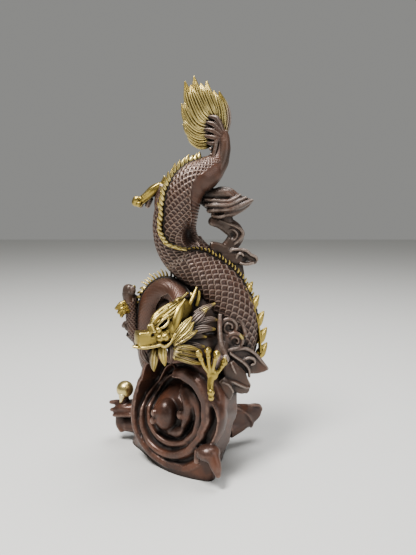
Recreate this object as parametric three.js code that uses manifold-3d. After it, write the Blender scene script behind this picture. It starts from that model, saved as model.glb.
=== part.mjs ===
// A cast dragon ornament: one scaly dragon that coils upward out of a breaking wave, with its tail
// plume on top.
// The whole work is one casting, so every form below is joined into a single closed solid.
// Units are millimetres, +Z is up, and the ornament's front looks along -Y.
import * as THREE from "three";
import { mergeVertices } from "three/addons/utils/BufferGeometryUtils.js";
import Module from "manifold-3d";

const wasm = await Module();
wasm.setup();

// ---- Driving dimensions -------------------------------------------------------------------------
// Stations are measured from a setting-out point on the table. The finished casting is moved by
// SETTING_OUT, which puts the middle of its overall width and depth on the origin.
const SETTING_OUT = [15.3, -4.07, 0];
const BODY_SIDES = 10;
const PEARL_RADIUS = 5.9;
// The wave's curled face turns this far to the ornament's right, and leans this far back.
const FACE_TURN = THREE.MathUtils.degToRad(33);
const FACE_TILT = THREE.MathUtils.degToRad(4);
const FACE_CENTRE = new THREE.Vector3(-24.5, -15, 36.8);

// ---- Shape tools --------------------------------------------------------------------------------
const vector = (p) => new THREE.Vector3(p[0], p[1], p[2]);
const curveThrough = (points) => new THREE.CatmullRomCurve3(points, false, "catmullrom", 0.5);
const TOWARD_FRONT = [0, -1, 0];
const UPWARD = [0, 0, 1];

/** A closed solid for the boolean work. */
function solid(geometry) {
  const bare = geometry.clone();
  bare.deleteAttribute("normal");
  bare.deleteAttribute("uv");
  const merged = mergeVertices(bare, 1e-4);
  const mesh = new wasm.Mesh({
    numProp: 3,
    vertProperties: new Float32Array(merged.attributes.position.array),
    triVerts: new Uint32Array(merged.index.array),
  });
  return new wasm.Manifold(mesh);
}

const join = (solids) => solids.reduce((whole, piece) => whole.add(piece));

/** Skins a stack of rings with equal point counts, and closes both ends to a point. */
function skin(rings, startTip, endTip) {
  const sides = rings[0].length;
  const points = [startTip, ...rings.flat(), endTip];
  const at = (ring, side) => 1 + ring * sides + (side % sides);
  const index = [];
  for (let side = 0; side < sides; side++) {
    index.push(0, at(0, side + 1), at(0, side));
    index.push(points.length - 1, at(rings.length - 1, side), at(rings.length - 1, side + 1));
    for (let ring = 0; ring + 1 < rings.length; ring++) {
      const [a, b] = [at(ring, side), at(ring, side + 1)];
      const [c, d] = [at(ring + 1, side + 1), at(ring + 1, side)];
      index.push(a, b, c, a, c, d);
    }
  }
  const geometry = new THREE.BufferGeometry().setFromPoints(points);
  geometry.setIndex(index);
  return solid(geometry);
}

/**
 * A smooth limb through its stations [x, y, z, half width, half thickness]. The thickness lies along
 * up, which is one direction or one for each station. The root is cut square, a fine end runs out to
 * a point, and a stout end is rounded over.
 */
function limb(stations, { sides = 6, steps = 1, up = UPWARD, roundRoot = false } = {}) {
  const spine = curveThrough(stations.map(vector));
  const sizes = curveThrough(stations.map((s) => new THREE.Vector3(s[3], s[4], 0)));
  const ups = Array.isArray(up[0]) ? curveThrough(up.map(vector)) : null;
  const ring = (t, shift, scale) => {
    const along = spine.getTangent(t);
    const lift = ups ? ups.getPoint(t) : vector(up);
    const wide = new THREE.Vector3().crossVectors(lift, along).normalize();
    const thick = new THREE.Vector3().crossVectors(along, wide).normalize();
    const size = sizes.getPoint(t);
    const centre = spine.getPoint(t).addScaledVector(along, shift * Math.min(size.x, size.y));
    const points = [];
    for (let side = 0; side < sides; side++) {
      const angle = ((side + 0.5) / sides) * 2 * Math.PI;
      points.push(centre.clone()
        .addScaledVector(wide, Math.cos(angle) * size.x * scale)
        .addScaledVector(thick, Math.sin(angle) * size.y * scale));
    }
    return { points, centre };
  };
  const count = (stations.length - 1) * steps;
  const stout = Math.min(...stations.at(-1).slice(3)) > 1;
  const rings = [];
  if (roundRoot) rings.push(ring(0, -0.6, 0.7).points);
  for (let step = 0; step < count; step++) rings.push(ring(step / count, 0, 1).points);
  if (stout) rings.push(ring(1, 0, 1).points, ring(1, 0.6, 0.7).points);
  return skin(rings, ring(0, roundRoot ? -0.9 : 0, 0).centre, ring(1, stout ? 0.9 : 0.2, 0).centre);
}

/** A ball or a pebble: an ellipsoid with the given half sizes. */
function pebble(centre, half, sides = 8) {
  const geometry = new THREE.SphereGeometry(1, sides, Math.round(sides * 0.7));
  geometry.scale(...half);
  geometry.translate(...centre);
  return solid(geometry);
}

/** A curl of cloud: a band wound inward about a point, in the plane square to its axis. */
function curl(centre, radius, turns, start, { axis = TOWARD_FRONT, share = 0.3, steps = 7 } = {}) {
  const out = vector(axis).normalize();
  const right = new THREE.Vector3().crossVectors(out, vector(UPWARD)).normalize().negate();
  const upward = new THREE.Vector3().crossVectors(out, right);
  const count = Math.round(turns * steps);
  const stations = [];
  for (let i = 0; i <= count; i++) {
    const angle = start + (i / steps) * 2 * Math.PI;
    const reach = radius * (1 - 0.62 * (i / count));
    const point = vector(centre).addScaledVector(right, Math.cos(angle) * reach)
      .addScaledVector(upward, Math.sin(angle) * reach);
    stations.push([...point.toArray(), radius * share, radius * share]);
  }
  return limb(stations, { sides: 4, up: axis, roundRoot: true });
}

// ---- The wave's curled face ---------------------------------------------------------------------
const faceOut = new THREE.Vector3(
  -Math.sin(FACE_TURN) * Math.cos(FACE_TILT),
  -Math.cos(FACE_TURN) * Math.cos(FACE_TILT),
  Math.sin(FACE_TILT),
);
const faceRight = new THREE.Vector3(Math.cos(FACE_TURN), -Math.sin(FACE_TURN), 0);
const faceUp = new THREE.Vector3().crossVectors(faceOut, faceRight);

/** The point right, up and out from the middle of the curled face. */
function onFace([right, upward, out]) {
  return FACE_CENTRE.clone()
    .addScaledVector(faceRight, right).addScaledVector(faceUp, upward).addScaledVector(faceOut, out);
}

// The curled face's ridges wind clockwise about the middle of the curl. A ridge's point is
// [turn in degrees from the top, reach from the middle, half width, height out of the face].
const CURL_MIDDLE = [-3, -3];
const PLATE_DEPTH = 25;
const GROOVE_DEPTH = 5;
const BOSS = [[0, 9, 3, -9], [90, 11, 3, -8], [180, 11, 3, -7], [270, 12, 3, -7]];
const MOAT = [[20, 15, 0, -13], [80, 15, 0, -11], [200, 14, 0, -11], [270, 15, 0, -12],
  [310, 19, 0, -19], [345, 20, 0, -21]];
const INNER_BAND = [[14, 20, 1, -18], [24, 20.6, 2.6, -4], [36, 23.6, 3.6, -3], [52, 25, 3.6, -2.4],
  [73, 24, 3, -2.4], [98, 22, 2.6, -2.6], [128, 19, 2.4, -3], [163, 17.1, 2.3, -3.4],
  [201, 16.7, 2.2, -3.6], [239, 16.8, 2, -4], [277, 17.5, 1.6, -6], [300, 20, 1, -14],
  [335, 24, 1, -19]];
const OUTER_BAND = [[0, 27.4, 1, -12], [9, 29, 3, -1.4], [25, 32.6, 4.8, 0], [42, 34.4, 4.8, 0.6],
  [58, 34, 4.6, 0.6], [77, 31.2, 4.2, 0.6], [98, 27.7, 3.6, 0.4], [122, 24.7, 3, 0],
  [152, 23.4, 2.8, -0.4], [182, 23.2, 2.6, -1], [210, 23.2, 2.4, -1.4], [238, 22.4, 2, -2],
  [267, 21.2, 1.5, -3], [292, 22.4, 1, -8], [316, 24.4, 1, -15], [345, 31, 1, -16]];
const RIM = [[0, 36, 3, -3], [25, 39.6, 2.6, -5], [42, 40.8, 2.6, -5], [58, 39.8, 2.6, -5],
  [77, 36.6, 2.6, -5], [98, 32.6, 2.4, -3], [126, 33.6, 3, -1.4], [145, 32.6, 3, -1],
  [168, 29.6, 3, -1], [198, 28.3, 2.8, -1], [222, 27.5, 2.6, -1], [244, 27.6, 2.5, -1],
  [262, 26.8, 2.3, -1], [279, 26.4, 2.2, -1], [297, 27.2, 2.2, -1], [316, 29.6, 2.2, -1],
  [336, 36.6, 2.2, -1], [348, 38, 2.4, -2]];

/** A band that lies on the curled face. A station is [right, up, out, half width, half thickness]. */
function faceBand(stations, options) {
  const placed = stations.map((s) => [...onFace(s).toArray(), s[3], s[4]]);
  return limb(placed, { up: faceOut.toArray(), ...options });
}

// ---- The dragon's body --------------------------------------------------------------------------
// From the root of the tail plume down to the back of the head: [x, y, z, half width, half depth],
// and the way its back faces there, because the body rolls as it coils.
const BODY = [
  [[2.6, 4, 212, 4.6, 4.6], [-0.9, 0, 0.4]],
  [[7.4, 4, 205, 6, 5.6], [-1, 0, 0.2]],
  [[7.9, 3, 197, 6.2, 6], [-1, 0, 0]],
  [[5.4, 2, 189.5, 7.4, 7], [-0.8, 0, 0.6]],
  [[-0.8, 0, 183.5, 9, 9], [-0.5, 0, 0.85]],
  [[-9, -1, 178.5, 10.8, 10.6], [-0.8, -0.25, 0.6]],
  [[-15.1, 0, 170, 12.8, 12.4], [-0.8, -0.6, 0.2]],
  [[-18.8, 2, 159.5, 13.8, 13.2], [-0.6, -0.8, 0]],
  [[-20, 4, 148, 13.8, 13.2], [-0.5, -0.85, 0.2]],
  [[-16.2, 5, 136.4, 14, 13.4], [-0.1, -0.8, 0.6]],
  [[-5.4, 5, 125, 14.4, 14], [0.3, -0.45, 0.85]],
  [[6.8, 5, 112.4, 15.4, 15], [0.65, -0.2, 0.75]],
  [[14.8, 6, 97.6, 15.8, 15.2], [0.9, -0.1, 0.4]],
  [[16.6, 9, 80.8, 15.6, 15], [1, 0, 0.05]],
  [[12.6, 17, 62.5, 15, 14.8], [0.9, 0.3, -0.4]],
  [[0, 26, 47.6, 14, 14], [0.5, 0.8, -0.5]],
  [[-20.1, 32, 43, 12.6, 12.4], [0, 0.9, -0.4]],
  [[-35, 28, 56, 10.6, 10.4], [-0.7, 0.7, 0]],
  [[-38.4, 20, 77.3, 9, 9], [-0.95, 0.2, 0.1]],
  [[-37.7, 13, 95.1, 7.8, 7.6], [-0.95, 0, 0.3]],
  [[-34.4, 9, 105.4, 7.6, 7.4], [-0.6, 0, 0.8]],
  [[-27.4, 5, 111.6, 7.5, 7.3], [0, 0, 1]],
  [[-19.8, 0, 110, 7.4, 7.2], [0.7, 0.2, 0.7]],
  [[-15.8, -8, 104, 7.2, 7.2], [0.8, 0.4, 0.5]],
];

// The crest along the back, in runs: [first station, last station, tooth pitch, tooth height, lean
// toward the tail].
const CREST_RUNS = [
  [3.9, 9.5, 6, 3, 0.7],
  [9.5, 12, 6.4, 2.8, 0.5],
  [12, 14.6, 10, 5.2, 0.9],
  [18.8, 22.9, 4.6, 5.2, 0.15],
];
const CREST_ROOT_HEIGHT = 1.3;

/** The dragon's back at a station: a point, and the outward, tailward and sideways directions. */
function backAt(station) {
  const t = station / (BODY.length - 1);
  const toHead = BODY_SPINE.getTangent(t);
  const sideways = new THREE.Vector3().crossVectors(BODY_BACKS.getPoint(t), toHead).normalize();
  const outward = new THREE.Vector3().crossVectors(toHead, sideways).normalize();
  const point = BODY_SPINE.getPoint(t).addScaledVector(outward, BODY_DEPTHS.getPoint(t).x);
  return { point, outward, tailward: toHead.negate(), sideways };
}

const BODY_SPINE = curveThrough(BODY.map((b) => vector(b[0])));
const BODY_BACKS = curveThrough(BODY.map((b) => vector(b[1])));
const BODY_DEPTHS = curveThrough(BODY.map((b) => new THREE.Vector3(b[0][4], 0, 0)));

/** The station that lies a given distance further along the back. */
function stationAfter(station, distance) {
  const here = backAt(station).point;
  const perStation = backAt(station + 0.1).point.distanceTo(here) / 0.1;
  return station + distance / perStation;
}

/** One run of the crest: a low continuous wall whose top rises into teeth that lean toward the tail. */
function crestRun([first, last, pitch, height, lean]) {
  const rings = [];
  const section = (station, rise, back) => {
    const { point, outward, tailward, sideways } = backAt(station);
    const foot = point.clone().addScaledVector(outward, -1.8);
    rings.push([
      foot.clone().addScaledVector(sideways, -1.5),
      foot.clone().addScaledVector(sideways, 1.5),
      point.clone().addScaledVector(outward, rise).addScaledVector(tailward, back),
    ]);
  };
  for (let station = first; station < last; station = stationAfter(station, pitch)) {
    section(station, CREST_ROOT_HEIGHT, 0);
    section(stationAfter(station, pitch * 0.45), height, pitch * 0.42 * lean);
  }
  const middle = (ring) => ring[0].clone().add(ring[1]).multiplyScalar(0.5);
  return skin(rings, middle(rings[0]), middle(rings.at(-1)));
}

function dragonBody() {
  const stations = BODY.map((b) => b[0]);
  const trunk = limb(stations, { sides: BODY_SIDES, steps: 2, up: BODY.map((b) => b[1]) });
  return join([trunk, ...CREST_RUNS.map(crestRun)]);
}

// ---- The tail plume -----------------------------------------------------------------------------
// Each lock runs from the root of the plume out to its own tip.
const PLUME_LOCKS = [
  [[4, 4, 203, 2.6, 3], [-3.6, 3, 200.5, 3.2, 2.6], [-9.6, 2, 202.6, 2, 1.6],
    [-12.4, 2, 206, 0.3, 0.3]],
  [[3, 4, 206, 3, 3.4], [-4.8, 2, 204.6, 3.6, 3], [-11.4, 1, 207.6, 2.4, 2], [-14.8, 1, 212, 0.3, 0.3]],
  [[2.4, 4, 208.5, 3, 3.6], [-6, 1, 209.4, 4, 3.2], [-12.6, 1, 215.4, 2.8, 2.2],
    [-15.8, 2, 224, 0.3, 0.3]],
  [[2.4, 4, 210.8, 3, 3.6], [-5.4, 0, 214.6, 4.4, 3.4], [-10.6, 0, 225, 3.8, 2.4],
    [-13.6, 1, 236.4, 0.5, 0.5]],
  [[3.6, 4, 212.6, 3, 3.6], [-2.2, 1, 220.3, 4.4, 3.4], [-6.4, 1, 230, 3.2, 2.2],
    [-8.3, 2, 239.4, 0.5, 0.5]],
  [[5.4, 4, 212.6, 3, 3.6], [2.6, 3, 222, 4.2, 3.4], [0.2, 3, 230, 2.8, 2.2], [-0.8, 4, 237.2, 0.5, 0.5]],
  [[8.4, 4, 206, 3, 3.2], [10.2, 5, 214.6, 3.8, 3], [9.2, 6, 222.6, 3.6, 2.6], [6.8, 6, 231.6, 0.5, 0.5]],
];

const plume = () => join(PLUME_LOCKS.map((lock) => limb(lock, { sides: 4, steps: 2 })));

// ---- The head -----------------------------------------------------------------------------------
/** Domed brow, broad blunt muzzle, curling lip and open jaw. */
function head() {
  const skull = limb([
    [-15.6, -10, 102, 7.4, 7.4], [-20.4, -18, 97.6, 9, 9], [-24, -24, 92.6, 8, 8.4],
  ], { sides: 8, up: TOWARD_FRONT });
  const brow = limb([
    [-17.2, -17, 109.8, 2.4, 2.6], [-21.6, -21.6, 106.4, 4.8, 4.8], [-25.8, -26, 102.4, 6, 6],
    [-29.4, -29.6, 97.8, 4.8, 4.6], [-31, -31.4, 94.6, 3.2, 3],
  ], { sides: 7, up: TOWARD_FRONT });
  const muzzle = limb([
    [-23, -26, 90.4, 6.4, 5.4], [-29, -30.6, 89.8, 5, 4.6], [-34.6, -34.6, 89.8, 4.6, 4],
    [-38.6, -36.8, 90.2, 4.6, 4],
  ], { up: UPWARD });
  const lip = limb([
    [-41.4, -38, 86.6, 1.6, 1.3], [-35.1, -38.4, 85.7, 1.8, 1.3], [-29.7, -35.8, 86.4, 1.6, 1.3],
    [-25.4, -33.6, 84.6, 1.6, 1.3], [-21.7, -30.6, 86.4, 1.5, 1.3], [-19, -27.6, 91.4, 0.9, 0.9],
  ]);
  const jaw = limb([
    [-21, -22, 85, 4.4, 3.4], [-25.4, -26.4, 80, 3.2, 2.8], [-25, -28.4, 74, 2.2, 2],
  ], { up: TOWARD_FRONT, sides: 7 });
  const beardTips = [[-37, -24, 82.4], [-36.4, -25, 77], [-31.6, -27.6, 70.6]];
  const beard = beardTips.map((tip, lock) => limb([
    [-28, -22 - lock, 84 - 2 * lock, 2.4, 2.2],
    [-32 + lock, -24.6 - lock, 81 - 3.4 * lock, 2.6, 2],
    [...tip, 0.6, 0.6],
  ], { sides: 5 }));
  const eyelids = limb([
    [-28, -32.6, 96, 0.8, 0.8], [-25.4, -31.6, 98.4, 1.6, 1.2], [-22.6, -28.6, 101, 0.7, 0.7],
  ], { sides: 5, up: TOWARD_FRONT });
  return join([skull, brow, muzzle, lip, jaw, ...beard, eyelids]);
}

/** The ear sweeps back from the cheek, and the forked antler stands behind it. */
function earAndAntler() {
  const ear = limb([
    [-19.4, -25, 92, 2.6, 2.4], [-18.2, -23.6, 98, 3.2, 2.8], [-16.4, -20.4, 104.4, 2.7, 2.2],
    [-14.2, -16, 109.2, 1.2, 1.2],
  ], { up: TOWARD_FRONT });
  const antler = limb([
    [-15.5, -14, 102.6, 1.8, 1.8], [-11.5, -10, 106.6, 1.7, 1.7], [-7.9, -7, 111.2, 1.5, 1.5],
    [-4.9, -4, 117.2, 0.6, 0.6],
  ], { sides: 5 });
  const tine = limb([[-10, -9, 107.4, 1.4, 1.4], [-9.1, -8, 114, 0.5, 0.5]], { sides: 5 });
  return join([ear, antler, tine]);
}

// The mane's locks fan back from the corner of the jaw: [tip, half width, how far the middle lifts].
const MANE_ROOT = [-19.4, -25, 88];
const MANE_TIPS = [
  [[-10.4, -17.6, 99], 2.5, 1.2], [[-6.4, -15, 97], 2.1, 0.6], [[-1.6, -12.4, 101.8], 2.4, 1],
  [[4.6, -12.4, 95], 2.4, 1.2], [[3.6, -14.4, 89.8], 2.4, 0.8], [[-1.6, -17, 86.6], 2.2, 0.4],
  [[-5, -20.6, 81.4], 2.3, 0], [[-6, -25, 74.4], 2, -0.8],
];

function mane() {
  const beds = [
    limb([[-16, -8, 98, 9, 6], [-7, -3, 98, 12, 6], [5, -1, 91, 12, 6]], { up: TOWARD_FRONT }),
    limb([[-18, -17, 83, 6, 5], [-6, -13, 80, 7, 6], [6, -7, 78, 7, 6]], { up: TOWARD_FRONT }),
  ];
  return join(beds.concat(MANE_TIPS.map(([tip, width, lift], lock) => {
    const end = vector(tip);
    const start = vector(MANE_ROOT).add(new THREE.Vector3(0.3 * lock, 0.2 * lock, 1.6 - 1.3 * lock));
    const middle = start.clone().lerp(end, 0.5).add(new THREE.Vector3(0, -1.4, lift));
    return limb([[...start.toArray(), width * 0.9, 2.4], [...middle.toArray(), width, 2.2],
      [...end.toArray(), 0.5, 0.5]], { sides: 5, up: TOWARD_FRONT });
  })));
}

// ---- Paws ---------------------------------------------------------------------------------------
/** The near fore paw spreads its toes up over the wave's crest, with the heel claw pointing down. */
function nearForePaw() {
  const arm = limb([[9, -10, 80, 4.6, 4.6], [6, -22, 72.6, 3.8, 3.8], [2.6, -29.6, 66.6, 2.8, 2.8]]);
  const toes = [
    [[-1.9, -31.6, 72.4], [-5, -33.4, 80.4], [-6.6, -35.4, 82.4]],
    [[0.7, -32, 73], [-0.1, -33.8, 82.6], [-0.9, -36, 83]],
    [[3.2, -32, 73], [4.9, -33.4, 80.6], [5.3, -35.6, 79.6]],
    [[6.2, -30, 69.4], [9.4, -28.6, 74.4], [10.4, -28, 77.4]],
  ].map(([bend, knuckle, nail]) => limb([
    [2.4, -31, 66.4, 1.6, 1.7], [...bend, 1.4, 1.5], [...knuckle, 2.3, 2.2], [...nail, 0.6, 0.6],
  ], { sides: 5 }));
  const heel = limb([[2.2, -31, 68, 2.2, 2], [1.3, -32, 62.4, 1.8, 1.6], [1.6, -32.8, 57.6, 2, 1.8],
    [1.7, -33, 54.6, 1.2, 1.2]]);
  return join([arm, ...toes, heel]);
}

/** The far fore leg is raised beside the neck, with an open paw. */
function farForePaw() {
  const leg = limb([[-42, 24, 68, 5, 5], [-48.2, 18, 82.2, 4.6, 4.6], [-49, 14.6, 95.1, 4.6, 4.6],
    [-50, 12.4, 104.7, 4.8, 4.6], [-50.2, 12, 109, 4.6, 4.4]], { sides: 8 });
  const elbow = pebble([-51.4, 19, 81.6], [4, 4, 5.4], 6);
  const nail = limb([[-50, 11, 110.6, 1.6, 1.6], [-46.6, 10, 111.4, 0.9, 0.9]]);
  const clawTips = [[-57.4, 8.6, 101.2], [-59.6, 7.6, 97.6], [-56, 7, 92.2]];
  const claws = clawTips.map((tip, i) => limb([
    [-50, 12, 102 - 2.4 * i, 2, 2],
    [(tip[0] - 52) / 2, 9.4, (tip[2] + 101 - 2 * i) / 2, 2, 1.8],
    [...tip, 1.1, 1.1],
  ], { sides: 5 }));
  return join([leg, elbow, nail, ...claws]);
}

/** The hind leg lies along the upper coil, and its paw reaches out to the left. */
function hindPaw() {
  const leg = limb([[-24, 8, 152, 6, 6], [-28.6, 11, 164, 4.6, 4.6], [-28.6, 12, 175, 3.4, 3.4]]);
  const foot = limb([[-28, 12, 176, 3, 3], [-33.8, 12, 173.2, 3.7, 3.5], [-39, 13, 169.2, 2.9, 2.8],
    [-43.4, 13, 166.2, 2.7, 2.6], [-45.4, 13, 166, 3.3, 3]], { sides: 8 });
  const spur = limb([[-29, 11, 175, 1.9, 1.9], [-27, 10, 181.8, 0.6, 0.6]], { sides: 5 });
  const toes = [-42, -37.4].map((x) => limb([
    [x + 1, 14, 168.6, 2.2, 2.2], [x - 1, 16, 163.4, 1.7, 1.7],
  ], { sides: 5 }));
  return join([leg, foot, spur, ...toes]);
}

// ---- Clouds -------------------------------------------------------------------------------------
/** Cloud leaves and volutes at the dragon's near shoulder, below the scaly flank. */
function shoulderClouds() {
  const facing = [0.2, -1, 0.1];
  const leaves = [
    [[8, -12, 76, 4, 4], [16.4, -9, 72.2, 6.8, 4.6], [24.4, -6, 67.4, 6.8, 4.2], [32, -4, 63.2, 4, 3],
      [38, -3, 60.8, 0.8, 0.8]],
    [[8.4, -17, 69, 4, 3.6], [13, -15.4, 62.6, 6.6, 4.4], [18.8, -13, 56.4, 6, 4],
      [25.2, -10.6, 50.6, 0.9, 0.9]],
    [[7.6, -20.6, 60.8, 3.8, 3], [10.2, -20.4, 54.4, 4.6, 3.4], [11.8, -19.4, 49, 2.6, 2.4]],
  ].map((stations) => limb(stations, { up: facing }));
  const arm = limb([[7.2, -15, 88.6, 2.6, 2.6], [8.3, -19.6, 81.5, 2.6, 2.6], [10.6, -22, 74, 2.4, 2.4]]);
  const volutes = [
    pebble([12.2, -4.6, 90.6], [7.2, 5.4, 6.2], 7), pebble([15.6, -5.4, 81.6], [7, 5.4, 6.6], 7),
    curl([12.8, -8.8, 90], 4.6, 1, 0.4, { steps: 6 }),
    curl([15.4, -9.8, 81.6], 4.8, 1, 0.5, { steps: 6 }),
  ];
  const drape = limb([[7.4, -7, 99, 1.4, 1.6], [14.6, -7.4, 96.4, 1.8, 1.8], [20.6, -8, 91, 1.6, 1.6],
    [22.6, -8.6, 84, 1.4, 1.4]], { sides: 5, up: TOWARD_FRONT });
  const root = pebble([9, -6, 80], [7, 8, 9]);
  return join([...leaves, arm, ...volutes, drape, root]);
}

// Strands of the upper cloud: [left end, right end], each with a drawn-out middle.
const UPPER_STRANDS = [
  [[-1.8, 170], [15, 173]], [[-1.8, 165.6], [19, 169]],
  [[-0.4, 161.4], [21, 165]], [[2.6, 157.4], [19, 160]],
];

/** The cloud beside the upper coil: a layered head, a winding ribbon, and a curled head on the body. */
function upperCloud() {
  const mass = limb([
    [-3, 3, 169.6, 5, 5], [3, 4, 167.4, 7.4, 5], [9, 4, 166.6, 9.2, 4.8], [14.6, 4, 165.2, 8.6, 4.4],
    [20, 4.6, 165, 5.6, 3.6], [24.4, 5, 166, 3, 2.4], [27.6, 5, 166.8, 0.7, 0.7],
  ], { up: TOWARD_FRONT, sides: 8 });
  const strands = UPPER_STRANDS.map(([[x0, z0], [x1, z1]]) => limb([
    [x0, 1.6, z0, 1.9, 2.2],
    [x0 + (x1 - x0) / 2.4, -0.4, z0 - 0.6, 2.1, 2.2],
    [x1, 1.4, z1, 0.7, 0.7],
  ], { sides: 5, up: TOWARD_FRONT, roundRoot: true }));
  const ribbon = limb([
    [2.4, 4, 154.4, 2.8, 2.6], [7, 5, 153.6, 3.6, 3.2], [12, 5.6, 151.4, 5, 3.6],
    [16.2, 6, 148.4, 5.2, 3.6], [17.6, 6, 144.4, 5, 3.6], [15, 6, 140.4, 4.8, 3.6],
    [12, 6, 136, 5, 3.8], [11, 6, 130, 6, 4.4],
  ], { up: TOWARD_FRONT, roundRoot: true });
  const throat = limb([[11, 4.6, 158, 3.6, 3.6], [12, 5, 152, 4.6, 3.6]], { up: TOWARD_FRONT });
  const prong = limb([[11, 5, 135.4, 4.4, 3.6], [5.4, 4.6, 137, 3.6, 3], [-0.2, 4, 140, 1.2, 1.2]],
    { up: TOWARD_FRONT });
  const prongFoot = limb([[2, 4, 137, 2.6, 2.6], [3.4, 4.6, 131, 4, 4]], { up: TOWARD_FRONT });
  const cloudHead = limb([[9, 6, 131, 5.4, 5], [15.4, 6, 131.6, 5, 4.6], [21.3, 6, 132, 5, 4.2],
    [26.4, 6, 130.6, 3.8, 3.4], [29.6, 6, 129, 2.4, 2.2]], { up: TOWARD_FRONT });
  const web = limb([[14, 7, 130, 7, 4], [17.6, 7, 121, 5.4, 4], [20, 7, 111, 3.4, 3.4]],
    { up: TOWARD_FRONT });
  return join([mass, ...strands, ribbon, throat, prong, prongFoot, cloudHead, web]);
}

// ---- The breaking wave --------------------------------------------------------------------------
// The wave's outline in plan, at its foot and at full girth, point for point.
const WAVE_FOOT = [[-42, 9], [-31, -9], [-20, -19], [-7, -25.6], [2.6, -26.6], [6, -14], [10, 6],
  [12, 22], [6, 38], [-16, 42], [-41, 41], [-53, 29]];
const WAVE_GIRTH = [[-44.4, 6], [-33, -7], [-20, -17], [-6, -26.6], [3.4, -29], [7, -15], [11, 5],
  [14, 24], [8, 42], [-16, 46], [-42, 44], [-49, 31]];
const WAVE_MIDDLE = [-18, 10];
// Levels of the wave: [height, how much of the way from foot to girth, how much of that size is kept].
const WAVE_LEVELS = [[0, 0, 1], [8, 0.5, 1], [20, 1, 1], [40, 1, 0.97], [54, 1, 0.86], [62, 1, 0.66]];

function waveCore() {
  const rings = WAVE_LEVELS.map(([height, girth, share]) => {
    const corners = WAVE_FOOT.map((foot, i) => new THREE.Vector3(
      THREE.MathUtils.lerp(foot[0], WAVE_GIRTH[i][0], girth),
      THREE.MathUtils.lerp(foot[1], WAVE_GIRTH[i][1], girth), height));
    const outline = new THREE.CatmullRomCurve3(corners, true).getPoints(16).slice(0, -1);
    return outline.map((p) => new THREE.Vector3(
      WAVE_MIDDLE[0] + (p.x - WAVE_MIDDLE[0]) * share,
      WAVE_MIDDLE[1] + (p.y - WAVE_MIDDLE[1]) * share,
      height,
    ));
  });
  return skin(rings, new THREE.Vector3(...WAVE_MIDDLE, 0), new THREE.Vector3(...WAVE_MIDDLE, 67));
}

/** Where a ridge of the curled face lies at one turn. Its points: [turn, reach, half width, height]. */
function ridgeAt(ridge, turn) {
  const next = (ridge.findIndex((point) => point[0] > turn) + ridge.length) % ridge.length;
  const [from, to] = [ridge.at(next - 1), ridge[next]];
  const gap = (to[0] - from[0] + 360) % 360;
  const share = THREE.MathUtils.smoothstep(((turn - from[0] + 360) % 360) / gap, 0, 1);
  const [reach, half, height] = [1, 2, 3].map((i) => THREE.MathUtils.lerp(from[i], to[i], share));
  return { reach, half, height };
}

/** The face's section at one turn, from the middle out: boss, moat, two bands and rim. */
function faceSection(turn) {
  const ridges = [BOSS, MOAT, INNER_BAND, OUTER_BAND, RIM];
  const [boss, moat, inner, outer, rim] = ridges.map((ridge) => ridgeAt(ridge, turn));
  const crown = (ridge) => [
    [ridge.reach - 0.6 * ridge.half, ridge.height],
    [ridge.reach + 0.6 * ridge.half, ridge.height],
  ];
  const groove = (a, b) => [
    (a.reach + a.half + b.reach - b.half) / 2,
    Math.min(a.height, b.height) - GROOVE_DEPTH,
  ];
  return [
    ...crown(boss), [Math.min(moat.reach, inner.reach - inner.half), moat.height],
    ...crown(inner), groove(inner, outer), ...crown(outer), groove(outer, rim), [rim.reach, rim.height],
    [rim.reach + rim.half, rim.height - 4],
  ];
}

/** A point of the curled face by turn and reach about the middle of its curl. */
function onCurl(turn, reach, out) {
  const angle = THREE.MathUtils.degToRad(turn);
  const [right, upward] = CURL_MIDDLE;
  return onFace([right + reach * Math.sin(angle), upward + reach * Math.cos(angle), out]);
}

const FACE_TURNS = Array.from({ length: 22 }, (_, i) => (i * 360) / 22);

/** The whole relief of the curled face: a thick plate, its front cut with boss, moat, bands and rim. */
function waveFace() {
  const sections = FACE_TURNS.map(faceSection);
  const ringAt = (k) => sections.map((section, i) => onCurl(FACE_TURNS[i], ...section[k]));
  const rings = sections[0].map((_, k) => ringAt(k));
  rings.push(sections.map((section, i) => (
    onCurl(FACE_TURNS[i], section.at(-1)[0] - 0.6, -PLATE_DEPTH)
  )));
  const plate = skin(rings, onCurl(0, 0, BOSS[0][3] + 1), onCurl(0, 0, -PLATE_DEPTH));
  const comma = faceBand([
    [8.4, 4, -6, 1.2, 3], [9.4, -4, -5, 2.6, 4], [4, -11, -5, 3.6, 4], [-3, -13, -6, 2.4, 3],
  ], { sides: 4 });
  const knob = pebble(onFace([-9, -2.4, -4]).toArray(), [6, 6, 8], 7);
  return [plate, comma, knob];
}

/** The seat that the plate of the curled face is set into. */
function waveFaceSeat() {
  const outline = (out, shrink) => FACE_TURNS.map((turn) => {
    const rim = ridgeAt(RIM, turn);
    return onCurl(turn, rim.reach + rim.half - shrink, out);
  });
  const floor = 1.5 - PLATE_DEPTH;
  return skin([outline(16, 1), outline(floor, 1.4)], onCurl(0, 0, 16), onCurl(0, 0, floor));
}

/** The mushroom-shaped drop at the front corner, and the strands of water that run down to it. */
function frontDrop() {
  const cap = pebble(onFace([30.6, -16, 0]).toArray(), [7, 5.6, 5.8]);
  const feet = [[24, -22, 1.6], [36, -28, 1]].map((end) => faceBand([
    [30.4, -15, -1, 4, 4],
    [(30.4 + end[0]) / 2, (end[1] - 15) / 2, 0.6, 3.2, 3.2],
    [...end, 2.4, 2.4],
  ], { sides: 5 }));
  const strands = [
    [[6, -15, 54, 4, 4], [5.6, -17, 36.1, 3.2, 3.2], [4, -20.6, 22.9, 2.6, 2.6],
      [2.4, -27, 16, 2.4, 2.4]],
    [[11.6, -2, 50, 4, 4], [12, -1, 31.5, 3.4, 3.4], [10, -4, 15.7, 2.6, 2.6], [5, -13, 5, 2.4, 2.4]],
  ].map((stations) => limb(stations));
  return [cap, ...feet, ...strands];
}

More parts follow.
